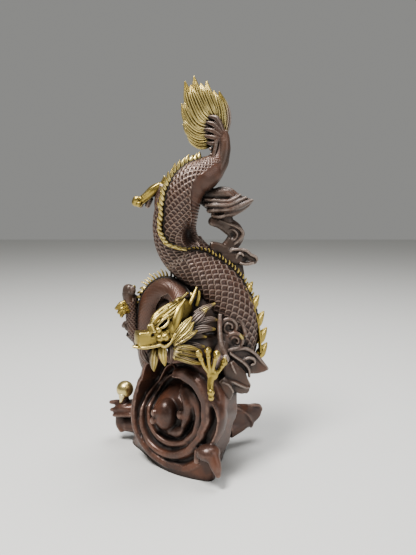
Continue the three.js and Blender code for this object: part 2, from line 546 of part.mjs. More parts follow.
/** The pearl on its spray of foam, at the back left. */
function pearlAndFoam() {
  const pearl = pebble([-57.5, 30, 37.4], [PEARL_RADIUS, PEARL_RADIUS, PEARL_RADIUS], 10);
  const stalk = limb([[-58.6, 31, 25, 4.4, 4.4], [-57.6, 30.4, 33.6, 3.4, 3.4]]);
  const spray = limb([
    [-46, 32, 24, 8, 5.6], [-57, 32, 26.4, 8, 4], [-64, 34, 26.6, 4.6, 2.8], [-68.6, 35, 26, 0.9, 0.9],
  ]);
  const heel = limb([[-46, 33, 12, 9, 11], [-56, 33, 11, 7.6, 8.4], [-61.4, 33, 12, 5, 5]],
    { roundRoot: true });
  return [pearl, stalk, spray, heel];
}

/** The pointed crest at the back right, and the plainer curls of the back. */
function backCrests() {
  const crest = limb([
    [8, 22, 20, 9, 7], [19, 23, 21.4, 8, 5], [27, 28, 22.6, 6.4, 4.2], [33.6, 31.6, 24, 3.6, 3],
    [38, 33.4, 26.2, 0.9, 0.9],
  ], { up: TOWARD_FRONT, sides: 8 });
  const backCurl = curl([-22, 44.6, 23], 14, 1.5, 1.2, { axis: [0, 1, 0], share: 0.2, steps: 8 });
  const backBoss = pebble([-22, 43.6, 23], [5, 5, 5], 6);
  return [crest, backCurl, backBoss];
}

function wave() {
  const seated = waveCore().subtract(waveFaceSeat());
  return join([seated, ...waveFace(), ...frontDrop(), ...pearlAndFoam(), ...backCrests()]);
}

// ---- The casting --------------------------------------------------------------------------------
/** Everything below the table is cut away, which leaves the wave's flat foot. */
function flatFoot(whole) {
  const ground = new THREE.BoxGeometry(300, 300, 100);
  ground.translate(0, 0, -50);
  return whole.subtract(solid(ground));
}

const casting = flatFoot(join([
  wave(), dragonBody(), plume(), head(), earAndAntler(), mane(), nearForePaw(), farForePaw(), hindPaw(),
  shoulderClouds(), upperCloud(),
]));

function meshOf(whole, name, material) {
  const made = whole.getMesh();
  const geometry = new THREE.BufferGeometry();
  geometry.setAttribute("position", new THREE.BufferAttribute(new Float32Array(made.vertProperties), 3));
  geometry.setIndex(new THREE.BufferAttribute(new Uint32Array(made.triVerts), 1));
  geometry.translate(...SETTING_OUT);
  geometry.computeVertexNormals();
  const mesh = new THREE.Mesh(geometry, material);
  mesh.name = name;
  return mesh;
}

const patinatedMetal = new THREE.MeshStandardMaterial({
  color: 0x4a352d,
  roughness: 0.42,
  metalness: 0.7,
});

const ornament = new THREE.Group();
ornament.add(meshOf(casting, "dragon_casting", patinatedMetal));

export default ornament;
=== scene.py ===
"""The finished look of the dragon ornament, built around its packed casting.

Tables are in millimetres from a setting-out point on the table: X to the viewer's right, Y away from
the front, Z up. Each mesh is placed in metres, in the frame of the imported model.
"""
import math

import bpy
import numpy as np
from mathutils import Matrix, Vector


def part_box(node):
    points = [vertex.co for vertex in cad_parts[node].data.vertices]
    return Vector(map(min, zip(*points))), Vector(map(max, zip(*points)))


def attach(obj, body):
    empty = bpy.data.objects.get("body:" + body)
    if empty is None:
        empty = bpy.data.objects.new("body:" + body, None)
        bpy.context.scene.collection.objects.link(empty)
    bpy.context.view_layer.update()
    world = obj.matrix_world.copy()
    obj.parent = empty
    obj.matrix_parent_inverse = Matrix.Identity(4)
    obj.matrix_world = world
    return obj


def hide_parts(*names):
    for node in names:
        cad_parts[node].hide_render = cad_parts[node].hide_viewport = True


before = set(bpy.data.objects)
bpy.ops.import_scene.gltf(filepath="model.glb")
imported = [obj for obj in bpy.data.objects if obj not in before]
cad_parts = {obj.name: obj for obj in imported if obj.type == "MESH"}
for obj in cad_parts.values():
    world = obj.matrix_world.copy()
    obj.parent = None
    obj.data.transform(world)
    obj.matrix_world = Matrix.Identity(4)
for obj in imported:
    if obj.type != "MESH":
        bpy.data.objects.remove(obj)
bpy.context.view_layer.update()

MM = 0.001
CASTING = "dragon_casting"
PLAN_MIDDLE = (-15.3, 4.07)  # middle of the overall width and depth, from the setting-out point

casting_low, casting_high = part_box(CASTING)
SHIFT = np.array([
    (casting_low.x + casting_high.x) / 2 - PLAN_MIDDLE[0] * MM,
    (casting_low.y + casting_high.y) / 2 - PLAN_MIDDLE[1] * MM,
    casting_low.z,
])

# ---- Directions ------------------------------------------------------------------------------------
UPWARD = (0, 0, 1)
FRONT = (0, -1, 0)
# The curled face of the wave: how far it is turned to the left and tilted up, and its middle.
FACE_TURN = math.radians(33)
FACE_TILT = math.radians(4)
FACE_CENTRE = np.array([-24.5, -15, 36.8])
FACE_OUT = np.array([
    -math.sin(FACE_TURN) * math.cos(FACE_TILT),
    -math.cos(FACE_TURN) * math.cos(FACE_TILT),
    math.sin(FACE_TILT),
])
FACE_RIGHT = np.array([math.cos(FACE_TURN), -math.sin(FACE_TURN), 0])
FACE_UP = np.cross(FACE_OUT, FACE_RIGHT)


# ---- Shape tools -----------------------------------------------------------------------------------
ROW_PITCH = 0.54  # from one row of scales to the next, in scale widths
SCALE_ARCH = 0.44  # how far a scale's free edge bows toward the tail, in scale widths
CELL_SPOTS = [(-0.3, -0.3), (0.3, -0.3), (-0.3, 0.3), (0.3, 0.3), (0, 0)]  # in cells, from the middle
FINE_STEPS = 2000  # for measuring along a curve
LEAST_HALF = 0.08  # no limb gets thinner than this
POLE_GAP = 0.08  # from an ellipsoid's tip to its first ring, in radians
TURN_STEPS = 12  # stations in each full turn of a curl
FULL_GROOVE_HALF = 1.8  # strands cut less deep where a limb is thinner than this
ROOT_BENDS = (1.3, 0.9, 0.45)  # the rings that round a limb's root and its tip, in radians
TIP_BENDS = (0.4, 0.8, 1.15, 1.4)


def unit(vectors):
    return vectors / np.maximum(np.linalg.norm(vectors, axis=-1, keepdims=True), 1e-9)


def smooth_share(value, low, high):
    share = np.clip((value - low) / (high - low), 0, 1)
    return share * share * (3 - 2 * share)


def through(points, share):
    """The smooth curve through the points, at shares from 0 to 1, with as much share in each span."""
    points = np.asarray(points, float)
    ends = np.vstack([2 * points[0] - points[1], points, 2 * points[-1] - points[-2]])
    spans = len(points) - 1
    run = np.clip(np.asarray(share, float) * spans, 0, spans - 1e-9)
    i = run.astype(int)
    f = (run - i)[:, None]
    a, b, c, d = ends[i], ends[i + 1], ends[i + 2], ends[i + 3]
    return 0.5 * (
        2 * b + (c - a) * f + (2 * a - 5 * b + 4 * c - d) * f**2 + (3 * b - a - 3 * c + d) * f**3)


def even_shares(points, step, first=0.0, last=1.0):
    """Shares that step evenly along the curve through the points, and the distances there."""
    fine = np.linspace(first, last, FINE_STEPS)
    line = through(points, fine)
    run = np.concatenate([[0], np.cumsum(np.linalg.norm(np.diff(line, axis=0), axis=1))])
    count = max(6, int(run[-1] / step))
    distance = np.linspace(0, run[-1], count + 1)
    return np.interp(distance, run, fine), distance


def skin(rings, start_tip, end_tip):
    """Skins a stack of rings and closes both ends to a point."""
    rings = np.asarray(rings)
    count, sides = rings.shape[:2]
    points = np.vstack([rings.reshape(-1, 3), start_tip, end_tip])
    ring, side = np.meshgrid(np.arange(count - 1), np.arange(sides), indexing="ij")
    following = (side + 1) % sides
    a, b = ring * sides + side, ring * sides + following
    c, d = a + sides, b + sides
    walls = [np.stack(corners, -1).reshape(-1, 3) for corners in ((a, b, d), (a, d, c))]
    edge = np.arange(sides)
    turned = (edge + 1) % sides
    first, last = np.full(sides, count * sides), np.full(sides, count * sides + 1)
    base = (count - 1) * sides
    caps = [np.stack([first, turned, edge], -1), np.stack([last, base + edge, base + turned], -1)]
    return points, np.concatenate(walls + caps)


def scale_lift(around, along, length):
    """The lift of overlapping scales, at places counted in scale widths. Each has a raised free edge."""
    depth = np.zeros_like(around)
    for shift in range(-1, 3):
        row = np.floor(along / ROW_PITCH) + shift
        across = around - 0.5 * (row % 2)
        across = across - np.round(across)
        edge = row * ROW_PITCH - SCALE_ARCH * (1 - (2 * np.abs(across)) ** 2) ** 0.8
        depth = np.where(along >= edge, along - edge, depth)
    depth = depth * length
    return np.clip(0.5 - 0.13 * depth + 0.5 * np.exp(-(((depth - 0.5) / 0.5) ** 2)), 0, 1)


def even_scale_lift(around, along, length):
    """The same lift, evened over each cell of the grid so that the scales' edges stay smooth."""
    turn, advance = around[0, 1] - around[0, 0], np.gradient(along, axis=0)
    lifts = [scale_lift(around + a * turn, along + b * advance, length) for a, b in CELL_SPOTS]
    return sum(lifts) / len(CELL_SPOTS)


def limb(stations, up=UPWARD, sides=24, step=0.6, power=2.0, strands=None, scales=None, round_root=False,
         rounding=0.9):
    """A smooth limb through stations [x, y, z, half width, half thickness], with a rounded end.

    A station with one half size is as thick as it is wide. The thickness lies along up. A power under 2
    sharpens the section to ridges and one over 2 squares it. Strands, as (count, depth), cut grooves
    along the limb. Scales are given as (count around, height).
    """
    stations = np.array([s if len(s) > 4 else [*s, s[3]] for s in stations], float)
    shares, distance = even_shares(stations[:, :3], step)
    centre = through(stations[:, :3], shares)
    along = unit(np.gradient(centre, axis=0))
    wide = unit(np.cross(np.array(up, float), along))
    thick = np.cross(along, wide)
    size = np.maximum(through(stations[:, 3:5], shares), LEAST_HALF)
    angle = (np.arange(sides) + 0.5) / sides * 2 * np.pi
    reach = (np.abs(np.cos(angle)) ** power + np.abs(np.sin(angle)) ** power) ** (-1 / power)
    groove = strands[1] * np.abs(np.cos(strands[0] * angle / 2)) ** 3 if strands else np.zeros(sides)
    lift = np.zeros((len(shares), sides))
    if scales:
        round_count, height = scales
        length = 2 * np.pi * size.mean() / round_count
        grid = np.meshgrid(round_count * angle / (2 * np.pi), distance / length)
        lift = height * even_scale_lift(*grid, length)
    bends = [(0, -math.sin(b), math.cos(b)) for b in ROOT_BENDS] if round_root else []
    bends += [(i, 0, 1) for i in range(len(shares))]
    bends += [(-1, math.sin(b), math.cos(b)) for b in TIP_BENDS]
    rings = []
    for i, shift, scale in bends:
        middle = centre[i] + along[i] * shift * rounding * min(size[i])
        cut = reach * (1 - groove * min(1, size[i].mean() / FULL_GROOVE_HALF))
        rings.append(
            middle
            + np.outer(np.cos(angle) * (cut * size[i][0] + lift[i]) * scale, wide[i])
            + np.outer(np.sin(angle) * (cut * size[i][1] + lift[i]) * scale, thick[i])
        )
    root = centre[0] - along[0] * (rounding * min(size[0]) if round_root else 0)
    return skin(rings, root, centre[-1] + along[-1] * rounding * min(size[-1]))


def limbs(tables, **options):
    """A limb through each table of stations, all with the same options."""
    return [limb(stations, **options) for stations in tables]


def pebble(centre, half, sides=32):
    """An ellipsoid with the given half sizes."""
    polar = np.linspace(POLE_GAP, np.pi - POLE_GAP, sides // 2)
    turn = np.arange(sides) / sides * 2 * np.pi
    rings = [
        np.stack([np.sin(p) * np.cos(turn), np.sin(p) * np.sin(turn), np.full(sides, -np.cos(p))], -1)
        * half + centre
        for p in polar
    ]
    return skin(rings, np.array(centre) - [0, 0, half[2]], np.array(centre) + [0, 0, half[2]])


def pebbles(*rows):
    """Ellipsoids given as [x, y, z, half sizes]."""
    return [pebble(row[:3], row[3:]) for row in rows]


def nearness(points, centre, size):
    """How near each point is to the centre: 1 there, falling off over the size."""
    return np.exp(-(((points - centre) / size) ** 2).sum(1))


def curl(centre, radius, turns, start, axis=FRONT, share=0.3, inward=0.7, power=2.0, hand=1):
    """A band wound inward about a point, square to its axis. Hand is -1 for clockwise as seen from it."""
    out = unit(np.array(axis, float))
    right = unit(np.cross(UPWARD, out))
    upward = np.cross(out, right)
    count = int(turns * TURN_STEPS)
    stations = []
    for i in range(count + 1):
        angle = start + hand * i / TURN_STEPS * 2 * math.pi
        reach = radius * (1 - inward * i / count)
        point = np.array(centre) + right * math.cos(angle) * reach + upward * math.sin(angle) * reach
        stations.append([*point, radius * share * (1 - 0.4 * i / count), radius * share])
    return limb(stations, up=axis, step=0.4, round_root=True, power=power)


def on_face(right, upward, out):
    """The point right, up and out from the middle of the wave's curled face."""
    return FACE_CENTRE + FACE_RIGHT * right + FACE_UP * upward + FACE_OUT * out


def face_band(stations, **options):
    """A band on the curled face. A station is [right, up, out, half width, half thickness]."""
    placed = [[*on_face(*s[:3]), *s[3:]] for s in stations]
    return limb(placed, up=FACE_OUT, **options)


# ---- Making pieces ---------------------------------------------------------------------------------
MARGIN_CELLS = 8  # open cells kept around the ornament when its shelter is worked out
# Solid cells under the table top put painted shade on the metal near it.
FLOOR_CELLS = 6  # cells under the table top, which count as solid


def soften(points, edges, passes):
    """Evens the points: each pass moves a point half way to the mean of its neighbours."""
    count = np.maximum(np.bincount(edges.ravel(), minlength=len(points)), 1)[:, None]
    a, b = edges[:, 0], edges[:, 1]
    for _ in range(passes):
        total = np.stack([
            np.bincount(a, points[b, k], len(points)) + np.bincount(b, points[a, k], len(points))
            for k in range(3)
        ], -1)
        points = 0.5 * points + 0.5 * total / count
    return points


def mark(mesh, name, values):
    attribute = mesh.attributes.new(name, "FLOAT", "POINT")
    attribute.data.foreach_set("value", np.asarray(values, np.float32))


def read_points(mesh):
    points = np.zeros(len(mesh.vertices) * 3)
    mesh.vertices.foreach_get("co", points)
    return points.reshape(-1, 3)


def read_normals(mesh):
    normals = np.zeros(len(mesh.vertices) * 3)
    mesh.vertex_normals.foreach_get("vector", normals)
    return normals.reshape(-1, 3)


def in_millimetres(mesh):
    """The mesh's points, measured as the tables are."""
    return (read_points(mesh) - SHIFT) / MM


def add_object(name, data):
    made = bpy.data.objects.new(name, data)
    bpy.context.scene.collection.objects.link(made)
    return made


def changed_mesh(piece):
    """The piece's mesh with its modifiers applied."""
    evaluated = piece.evaluated_get(bpy.context.evaluated_depsgraph_get())
    return bpy.data.meshes.new_from_object(evaluated)


def mark_relief(mesh, passes, full):
    """Marks each point's relief: 1 on a ridge, 0 in a hollow and a half where the skin is even."""
    points = read_points(mesh)
    edges = np.zeros(len(mesh.edges) * 2, np.int64)
    mesh.edges.foreach_get("vertices", edges)
    even = soften(points, edges.reshape(-1, 2), passes)
    rise = ((points - even) * read_normals(mesh)).sum(1)
    mark(mesh, "relief", np.clip(0.5 + 0.5 * rise / (full * MM), 0, 1))


PIECES = []  # every piece, in the order that it was made


def finish_piece(piece, material, slot, gilt=None, passes=10, full=0.16):
    """Marks, shades and paints a piece, and fixes it to the casting's body."""
    PIECES.append(piece)
    mesh = piece.data
    mesh.shade_smooth()
    mark_relief(mesh, passes, full)
    if gilt is not None:
        mark(mesh, "gilt", np.clip(gilt(in_millimetres(mesh)), 0, 1))
    mesh.materials.clear()
    mesh.materials.append(material)
    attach(piece, "root")
    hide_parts(CASTING)
    return piece


def blurred(grid, spread):
    """The grid evened along each way with a bell curve of the given spread, in cells."""
    reach = int(3 * spread)
    weights = np.exp(-0.5 * (np.arange(-reach, reach + 1) / spread) ** 2)
    for way in range(3):
        grid = np.moveaxis(grid, way, 0)
        padded = np.concatenate([grid[:1].repeat(reach, 0), grid, grid[-1:].repeat(reach, 0)])
        grid = sum(w * padded[k:k + len(grid)] for k, w in enumerate(weights)) / weights.sum()
        grid = np.moveaxis(grid, 0, way)
    return grid


def mark_shelter(pieces, cell=1.2, spread=2.6, lift=1.6):
    """Marks how far each point is sheltered by the metal around it, from 0 in the open to 1. The finishes
    paint shade from this mark.
    """
    placed = [(piece.data, in_millimetres(piece.data), read_normals(piece.data)) for piece in pieces]
    everything = np.vstack([points for _, points, _ in placed])
    start = everything.min(0) - MARGIN_CELLS * cell
    start[2] = -FLOOR_CELLS * cell
    count = ((everything.max(0) - start) / cell).astype(int) + MARGIN_CELLS + 1
    skin_cells = np.zeros(count, bool)
    skin_cells[tuple(((everything - start) / cell).astype(int).T)] = True
    air = np.zeros(count, bool)
    air[:, :, -1] = True
    while True:
        grown = air.copy()
        for way in range(3):
            a, b = np.moveaxis(grown, way, 0), np.moveaxis(air, way, 0)
            a[1:] |= b[:-1]
            a[:-1] |= b[1:]
        grown &= ~skin_cells
        if (grown == air).all():
            break
        air = grown
    air[:, :, :FLOOR_CELLS] = False
    solid = blurred((~air).astype(np.float32), spread / cell)
    for mesh, points, normals in placed:
        run = (points + lift * normals - start) / cell - 0.5
        low = np.clip(run.astype(int), 0, count - 2)
        share = np.clip(run - low, 0, 1)
        value = np.zeros(len(points))
        for corner in np.ndindex(2, 2, 2):
            weight = np.prod(np.where(corner, share, 1 - share), axis=1)
            value += weight * solid[tuple((low + corner).T)]
        mark(mesh, "shelter", value)


def raw_piece(name, forms):
    """One mesh of all the forms, placed in the frame."""
    points, triangles, start = [], [], 0
    for form_points, form_triangles in forms:
        points.append(form_points)
        triangles.append(form_triangles + start)
        start += len(form_points)
    mesh = bpy.data.meshes.new(name)
    mesh.from_pydata((np.vstack(points) * MM + SHIFT).tolist(), [], np.vstack(triangles).tolist())
    mesh.update(calc_edges=True)
    return add_object(name, mesh)


def cut_form(form, cutter):
    """The form with the cutter taken out of it."""
    block, tool = raw_piece("block", [form]), raw_piece("tool", [cutter])
    cut = block.modifiers.new("cut", "BOOLEAN")
    cut.operation = "DIFFERENCE"
    cut.solver = "EXACT"
    cut.object = tool
    mesh = changed_mesh(block)
    mesh.calc_loop_triangles()
    triangles = np.zeros(len(mesh.loop_triangles) * 3, np.int64)
    mesh.loop_triangles.foreach_get("vertices", triangles)
    for spent in (block, tool):
        bpy.data.objects.remove(spent)
    return in_millimetres(mesh), triangles.reshape(-1, 3)


def grid_piece(name, forms, material, slot, **marks):
    """A piece that keeps its forms' own grids, where scales and hair need them."""
    return finish_piece(raw_piece(name, forms), material, slot, **marks)


def fused_piece(name, forms, material, slot, grain=0.4, softening=2, dents=(), **marks):
    """Melts overlapping forms into one skin, as a casting has, then presses in its dents."""
    rough = raw_piece(name + "_forms", forms)
    fuse = rough.modifiers.new("fuse", "REMESH")
    fuse.mode = "VOXEL"
    fuse.voxel_size = grain * MM
    smooth = rough.modifiers.new("soften", "SMOOTH")
    smooth.factor = 0.5
    smooth.iterations = softening
    mesh = changed_mesh(rough)
    bpy.data.objects.remove(rough)
    mesh.name = name
    piece = add_object(name, mesh)
    points, normals = in_millimetres(mesh), read_normals(mesh)
    for centre, size, depth in dents:
        points = points - normals * (nearness(points, centre, size) * depth)[:, None]
    points[:, 2] = np.maximum(points[:, 2], 0)
    mesh.vertices.foreach_set("co", (points * MM + SHIFT).ravel())
    mesh.update()
    return finish_piece(piece, material, slot, **marks)


# ---- Finishes and painted light --------------------------------------------------------------------
def new_group(name, inputs, outputs):
    """A node group with number sockets, each input given with its value."""
    group = bpy.data.node_groups.new(name, "ShaderNodeTree")
    for socket, value in inputs:
        made = group.interface.new_socket(name=socket, in_out="INPUT", socket_type="NodeSocketFloat")
        made.default_value = value
    for socket in outputs:
        group.interface.new_socket(name=socket, in_out="OUTPUT", socket_type="NodeSocketFloat")
    return group, group.nodes.new("NodeGroupInput"), group.nodes.new("NodeGroupOutput")


def add_node(tree, kind, links=None, **settings):
    """Adds a node. Each link is a socket to join or a value to set on the named input."""
    node = tree.nodes.new(kind)
    for setting, value in settings.items():
        setattr(node, setting, value)
    for socket, value in (links or {}).items():
        if isinstance(value, bpy.types.NodeSocket):
            tree.links.new(value, node.inputs[socket])
        else:
            node.inputs[socket].default_value = value
    return node


def mix_colour(tree, share, first, second):
    return add_node(tree, "ShaderNodeMix", {0: share, 6: first, 7: second}, data_type="RGBA").outputs[2]


def mix_value(tree, share, first, second):
    return add_node(tree, "ShaderNodeMix", {0: share, 2: first, 3: second}).outputs[0]


def noise(tree, place, scale, detail, roughness):
    return add_node(tree, "ShaderNodeTexNoise", {
        "Vector": place.outputs["Object"], "Scale": scale, "Detail": detail, "Roughness": roughness})


def sum_node(tree, how, *values):
    """The node that works out a sum such as MULTIPLY from sockets or numbers."""
    return add_node(tree, "ShaderNodeMath", dict(enumerate(values)), operation=how).outputs[0]


def smooth_ramp(tree, value, low, high):
    """A mask that rises smoothly from 0 at the low value to 1 at the high one."""
    return add_node(tree, "ShaderNodeMapRange", {"Value": value, "From Min": low, "From Max": high},
                    interpolation_type="SMOOTHSTEP").outputs[0]


def wear_and_light_group():
    """Turns the marked relief and shelter into masks: worn ridges with a painted highlight, hollows with
    dark patina and painted shade, and painted shade where the metal around shelters a point.
    """
    group, given, result = new_group(
        "wear_and_painted_light",
        [("Relief", 0.5), ("Shelter", 0.3), ("Ragged", 0.3)],
        ["Ridge", "Hollow", "Painted_shade", "Mottle", "Cloud"],
    )
    place = add_node(group, "ShaderNodeTexCoord")
    speckle = noise(group, place, 750.0, 4.0, 0.6)
    cloud = noise(group, place, 90.0, 3.0, 0.55)
    centred = sum_node(group, "SUBTRACT", speckle.outputs["Fac"], 0.5)
    masks = {}
    # Ridge is worn metal and a painted highlight, Hollow dark patina and painted shade, and the shelter
    # mask painted shade alone.
    for name, source, low, high in (
        ("Ridge", "Relief", 0.58, 0.95),
        ("Hollow", "Relief", 0.44, 0.12),
        ("Painted_shade", "Shelter", 0.34, 0.72),
    ):
        ragged = sum_node(group, "MULTIPLY_ADD", centred, given.outputs["Ragged"], given.outputs[source])
        masks[name] = smooth_ramp(group, ragged, low, high)
    # Painted shade dims the painted highlight of the worn ridges.
    unshaded = sum_node(group, "MULTIPLY_ADD", masks["Painted_shade"], -0.8, 1.0)
    rubbed_and_lit = sum_node(group, "MULTIPLY", masks["Ridge"], unshaded)
    patches = smooth_ramp(group, cloud.outputs["Fac"], 0.42, 0.68)
    masks.update(Ridge=rubbed_and_lit, Mottle=speckle.outputs["Fac"], Cloud=patches)
    for name, source in masks.items():
        group.links.new(source, result.inputs[name])
    return group


def grain_group():
    """The faint pits and grain that sand casting leaves under the finish."""
    group, given, result = new_group("cast_grain", [("Pits", 0.5)], ["Height"])
    place = add_node(group, "ShaderNodeTexCoord")
    grain = noise(group, place, 1400.0, 3.0, 0.65)
    pits = add_node(group, "ShaderNodeTexVoronoi", {"Vector": place.outputs["Object"], "Scale": 900.0})
    pit_depth = add_node(group, "ShaderNodeMapRange", {
        "Value": pits.outputs["Distance"], "From Min": 0.05, "From Max": 0.3})
    height = sum_node(
        group, "MULTIPLY_ADD", pit_depth.outputs[0], given.outputs["Pits"], grain.outputs["Fac"])
    group.links.new(height, result.inputs["Height"])
    return group


WEAR_AND_LIGHT = wear_and_light_group()
GRAIN = grain_group()


def rgba(red, green, blue):
    return (red, green, blue, 1.0)


# The colour of painted shade, laid where the metal around a point would shade it.
PAINTED_SHADE = rgba(0.010, 0.0055, 0.004)
BROWN = rgba(0.052, 0.032, 0.023)
# The hollow colour is dark patina with painted shade, and the ridge colour worn metal with a painted
# highlight.
BROWN_HOLLOW = rgba(0.012, 0.006, 0.004)
BROWN_RIDGE = rgba(0.24, 0.185, 0.155)
RUST = rgba(0.15, 0.05, 0.022)
# Gold as its body, ridge and hollow colours. The ridge colour is worn gold with a painted highlight, and
# the hollow colour dark patina with painted shade.
GILT = (rgba(0.37, 0.27, 0.065), rgba(0.74, 0.60, 0.24), rgba(0.022, 0.014, 0.007))
POLISHED = (rgba(0.60, 0.48, 0.19), rgba(0.80, 0.68, 0.40), rgba(0.20, 0.14, 0.06))


def metal_finish(name, body=BROWN, hollow=BROWN_HOLLOW, ridge=BROWN_RIDGE, gold=GILT, gilding=0.0,
                 rubbed_share=0.25, roughness=0.36):
    """A cast metal finish with painted light: a painted highlight on worn ridges, painted shade over the
    dark patina in hollows, and painted shade where the metal is sheltered. Gilding is 0 for none, 1 for
    all over, or None where it is marked.
    """
    gold_body, gold_ridge, gold_groove = gold
    material = bpy.data.materials.new(name)
    material.use_nodes = True
    tree = material.node_tree
    shader = tree.nodes["Principled BSDF"]
    wear_and_light = add_node(tree, "ShaderNodeGroup", node_tree=WEAR_AND_LIGHT)
    for socket, attribute in (("Relief", "relief"), ("Shelter", "shelter")):
        marked = add_node(tree, "ShaderNodeAttribute", attribute_name=attribute)
        tree.links.new(marked.outputs["Fac"], wear_and_light.inputs[socket])
    wear_and_light.inputs["Ragged"].default_value = 0.3
    rub = sum_node(tree, "MULTIPLY", wear_and_light.outputs["Cloud"], rubbed_share)
    colour = mix_colour(tree, rub, body, RUST)
    # Dark patina with painted shade in the hollows, then worn metal with a painted highlight on the
    # ridges.
    colour = mix_colour(tree, wear_and_light.outputs["Hollow"], colour, hollow)
    colour = mix_colour(tree, wear_and_light.outputs["Ridge"], colour, ridge)
    # The gilding gets the same painted highlight on its ridges and painted shade in its grooves.
    gilt_colour = mix_colour(tree, wear_and_light.outputs["Ridge"], gold_body, gold_ridge)
    gilt_colour = mix_colour(tree, wear_and_light.outputs["Hollow"], gilt_colour, gold_groove)
    patina_gloss = mix_value(tree, wear_and_light.outputs["Mottle"], roughness - 0.08, roughness + 0.1)
    gold_gloss = mix_value(tree, wear_and_light.outputs["Mottle"], 0.24, 0.4)
    if gilding == 1.0:
        final, gloss, metal = gilt_colour, gold_gloss, mix_value(tree, wear_and_light.outputs["Hollow"], 1.0, 0.4)
    elif gilding == 0.0:
        final, gloss, metal = colour, patina_gloss, mix_value(tree, wear_and_light.outputs["Ridge"], 0.35, 0.6)
    else:
        gilt = add_node(tree, "ShaderNodeAttribute", attribute_name="gilt").outputs["Fac"]
        final = mix_colour(tree, gilt, colour, gilt_colour)
        gloss = mix_value(tree, gilt, patina_gloss, gold_gloss)
        metal = mix_value(tree, gilt, 0.4, 1.0)
    # Painted shade where the metal around would shade the point, in colour and gloss.
    final = mix_colour(tree, wear_and_light.outputs["Painted_shade"], final, PAINTED_SHADE)
    gloss = mix_value(tree, wear_and_light.outputs["Painted_shade"], gloss, 0.6)
    grain = add_node(tree, "ShaderNodeGroup", node_tree=GRAIN)
    grain.inputs["Pits"].default_value = 0.3
    bump = add_node(tree, "ShaderNodeBump", {
        "Strength": 0.25, "Distance": 0.0002, "Height": grain.outputs["Height"]})
    for source, socket in ((final, "Base Color"), (gloss, "Roughness"), (metal, "Metallic"),
                           (bump.outputs["Normal"], "Normal")):
        tree.links.new(source, shader.inputs[socket])
    return material


patina = metal_finish("dark_patina")
# The lighter ridge colours given here are partly a painted highlight, and the hollow colours partly
# painted shade.
scale_patina = metal_finish(
    "scale_patina", rgba(0.066, 0.030, 0.019), rgba(0.020, 0.008, 0.005), rgba(0.22, 0.165, 0.135))
wave_patina = metal_finish(
    "wave_patina", rgba(0.048, 0.022, 0.015), BROWN_HOLLOW, rgba(0.22, 0.135, 0.105),
    rubbed_share=0.5, roughness=0.32)
gold_finish = metal_finish("bright_gold", gilding=1.0)
polished_gold = metal_finish("polished_gold", gold=POLISHED, gilding=1.0)
part_gilt = metal_finish("gilt_over_patina", gilding=None)

# ---- The dragon's body -----------------------------------------------------------------------------
# From the plume's root to the back of the head: [x, y, z, half width, half depth, way the back faces].
BODY = np.array([
    [2.6, 4, 212, 4.6, 4.6, -0.9, 0, 0.4],
    [7.4, 4, 205, 6, 5.6, -1, 0, 0.2],
    [7.9, 3, 197, 6.2, 6, -1, 0, 0],
    [5.4, 2, 189.5, 7.4, 7, -0.8, 0, 0.6],
    [-0.8, 0, 183.5, 9, 9, -0.5, 0, 0.85],
    [-9, -1, 178.5, 10.8, 10.6, -0.8, -0.25, 0.6],
    [-15.1, 0, 170, 12.8, 12.4, -0.8, -0.6, 0.2],
    [-18.8, 2, 159.5, 13.8, 13.2, -0.6, -0.8, 0],
    [-20, 4, 148, 13.8, 13.2, -0.5, -0.85, 0.2],
    [-16.2, 5, 136.4, 14, 13.4, -0.1, -0.8, 0.6],
    [-5.4, 5, 125, 14.4, 14, 0.3, -0.45, 0.85],
    [6.8, 5, 112.4, 15.4, 15, 0.65, -0.2, 0.75],
    [14.8, 6, 97.6, 15.8, 15.2, 0.9, -0.1, 0.4],
    [16.6, 9, 80.8, 15.6, 15, 1, 0, 0.05],
    [12.6, 17, 62.5, 15, 14.8, 0.9, 0.3, -0.4],
    [0, 26, 47.6, 14, 14, 0.5, 0.8, -0.5],
    [-20.1, 32, 43, 12.6, 12.4, 0, 0.9, -0.4],
    [-35, 28, 56, 10.6, 10.4, -0.7, 0.7, 0],
    [-38.4, 20, 77.3, 9, 9, -0.95, 0.2, 0.1],
    [-37.7, 13, 95.1, 7.8, 7.6, -0.95, 0, 0.3],
    [-34.4, 9, 105.4, 7.6, 7.4, -0.6, 0, 0.8],
    [-27.4, 5, 111.6, 7.5, 7.3, 0, 0, 1],
    [-19.8, 0, 110, 7.4, 7.2, 0.7, 0.2, 0.7],
    [-15.8, -8, 104, 7.2, 7.2, 0.8, 0.4, 0.5],
])
LAST_STATION = len(BODY) - 1

# Each pair below gives stations along the body and the values there.
BELLY_MIDDLE = ([2.4, 3.4, 9.5, 11], [-90, -52, -52, -90])  # degrees round the body
BELLY_HALF = ([3, 4, 9.5, 11, 23], [50, 56, 56, 42, 46])  # degrees
BELLY_BORDER = ([4.5, 6, 11, 12], [0, 1, 1, 0.4])
SCALES_START = (2.5, 3.3)  # stations over which the scales and then the belly's plates grow in
PLATES_START = (5.4, 6.6)
PLATE_PITCH = 2.6
HIP_STATION = 4.2
BURIED_STATION = 16.0  # where the body runs inside the wave and its skin is sunk
# The pit in the coils behind the head: its centre, its size and the way it is pressed.
COIL_PIT = ([-9.6, -9, 146.8], [4.2, 8, 6.8], [-2.5, 8.5, 0])


def body_frame(shares):
    """The body at shares of its run: centre, way to the head, sideways, outward at the back, sizes."""
    centre = through(BODY[:, :3], shares)
    along = unit(through(BODY[:, :3], np.minimum(shares + 1e-4, 1)) - through(BODY[:, :3], shares - 1e-4))
    wide = unit(np.cross(through(BODY[:, 5:8], shares), along))
    return centre, along, wide, np.cross(along, wide), through(BODY[:, 3:5], shares)


def from_angle(angle, middle):
    """Degrees between each angle around the body and the given middle."""
    return np.degrees(np.abs((angle - middle + np.pi) % (2 * np.pi) - np.pi))


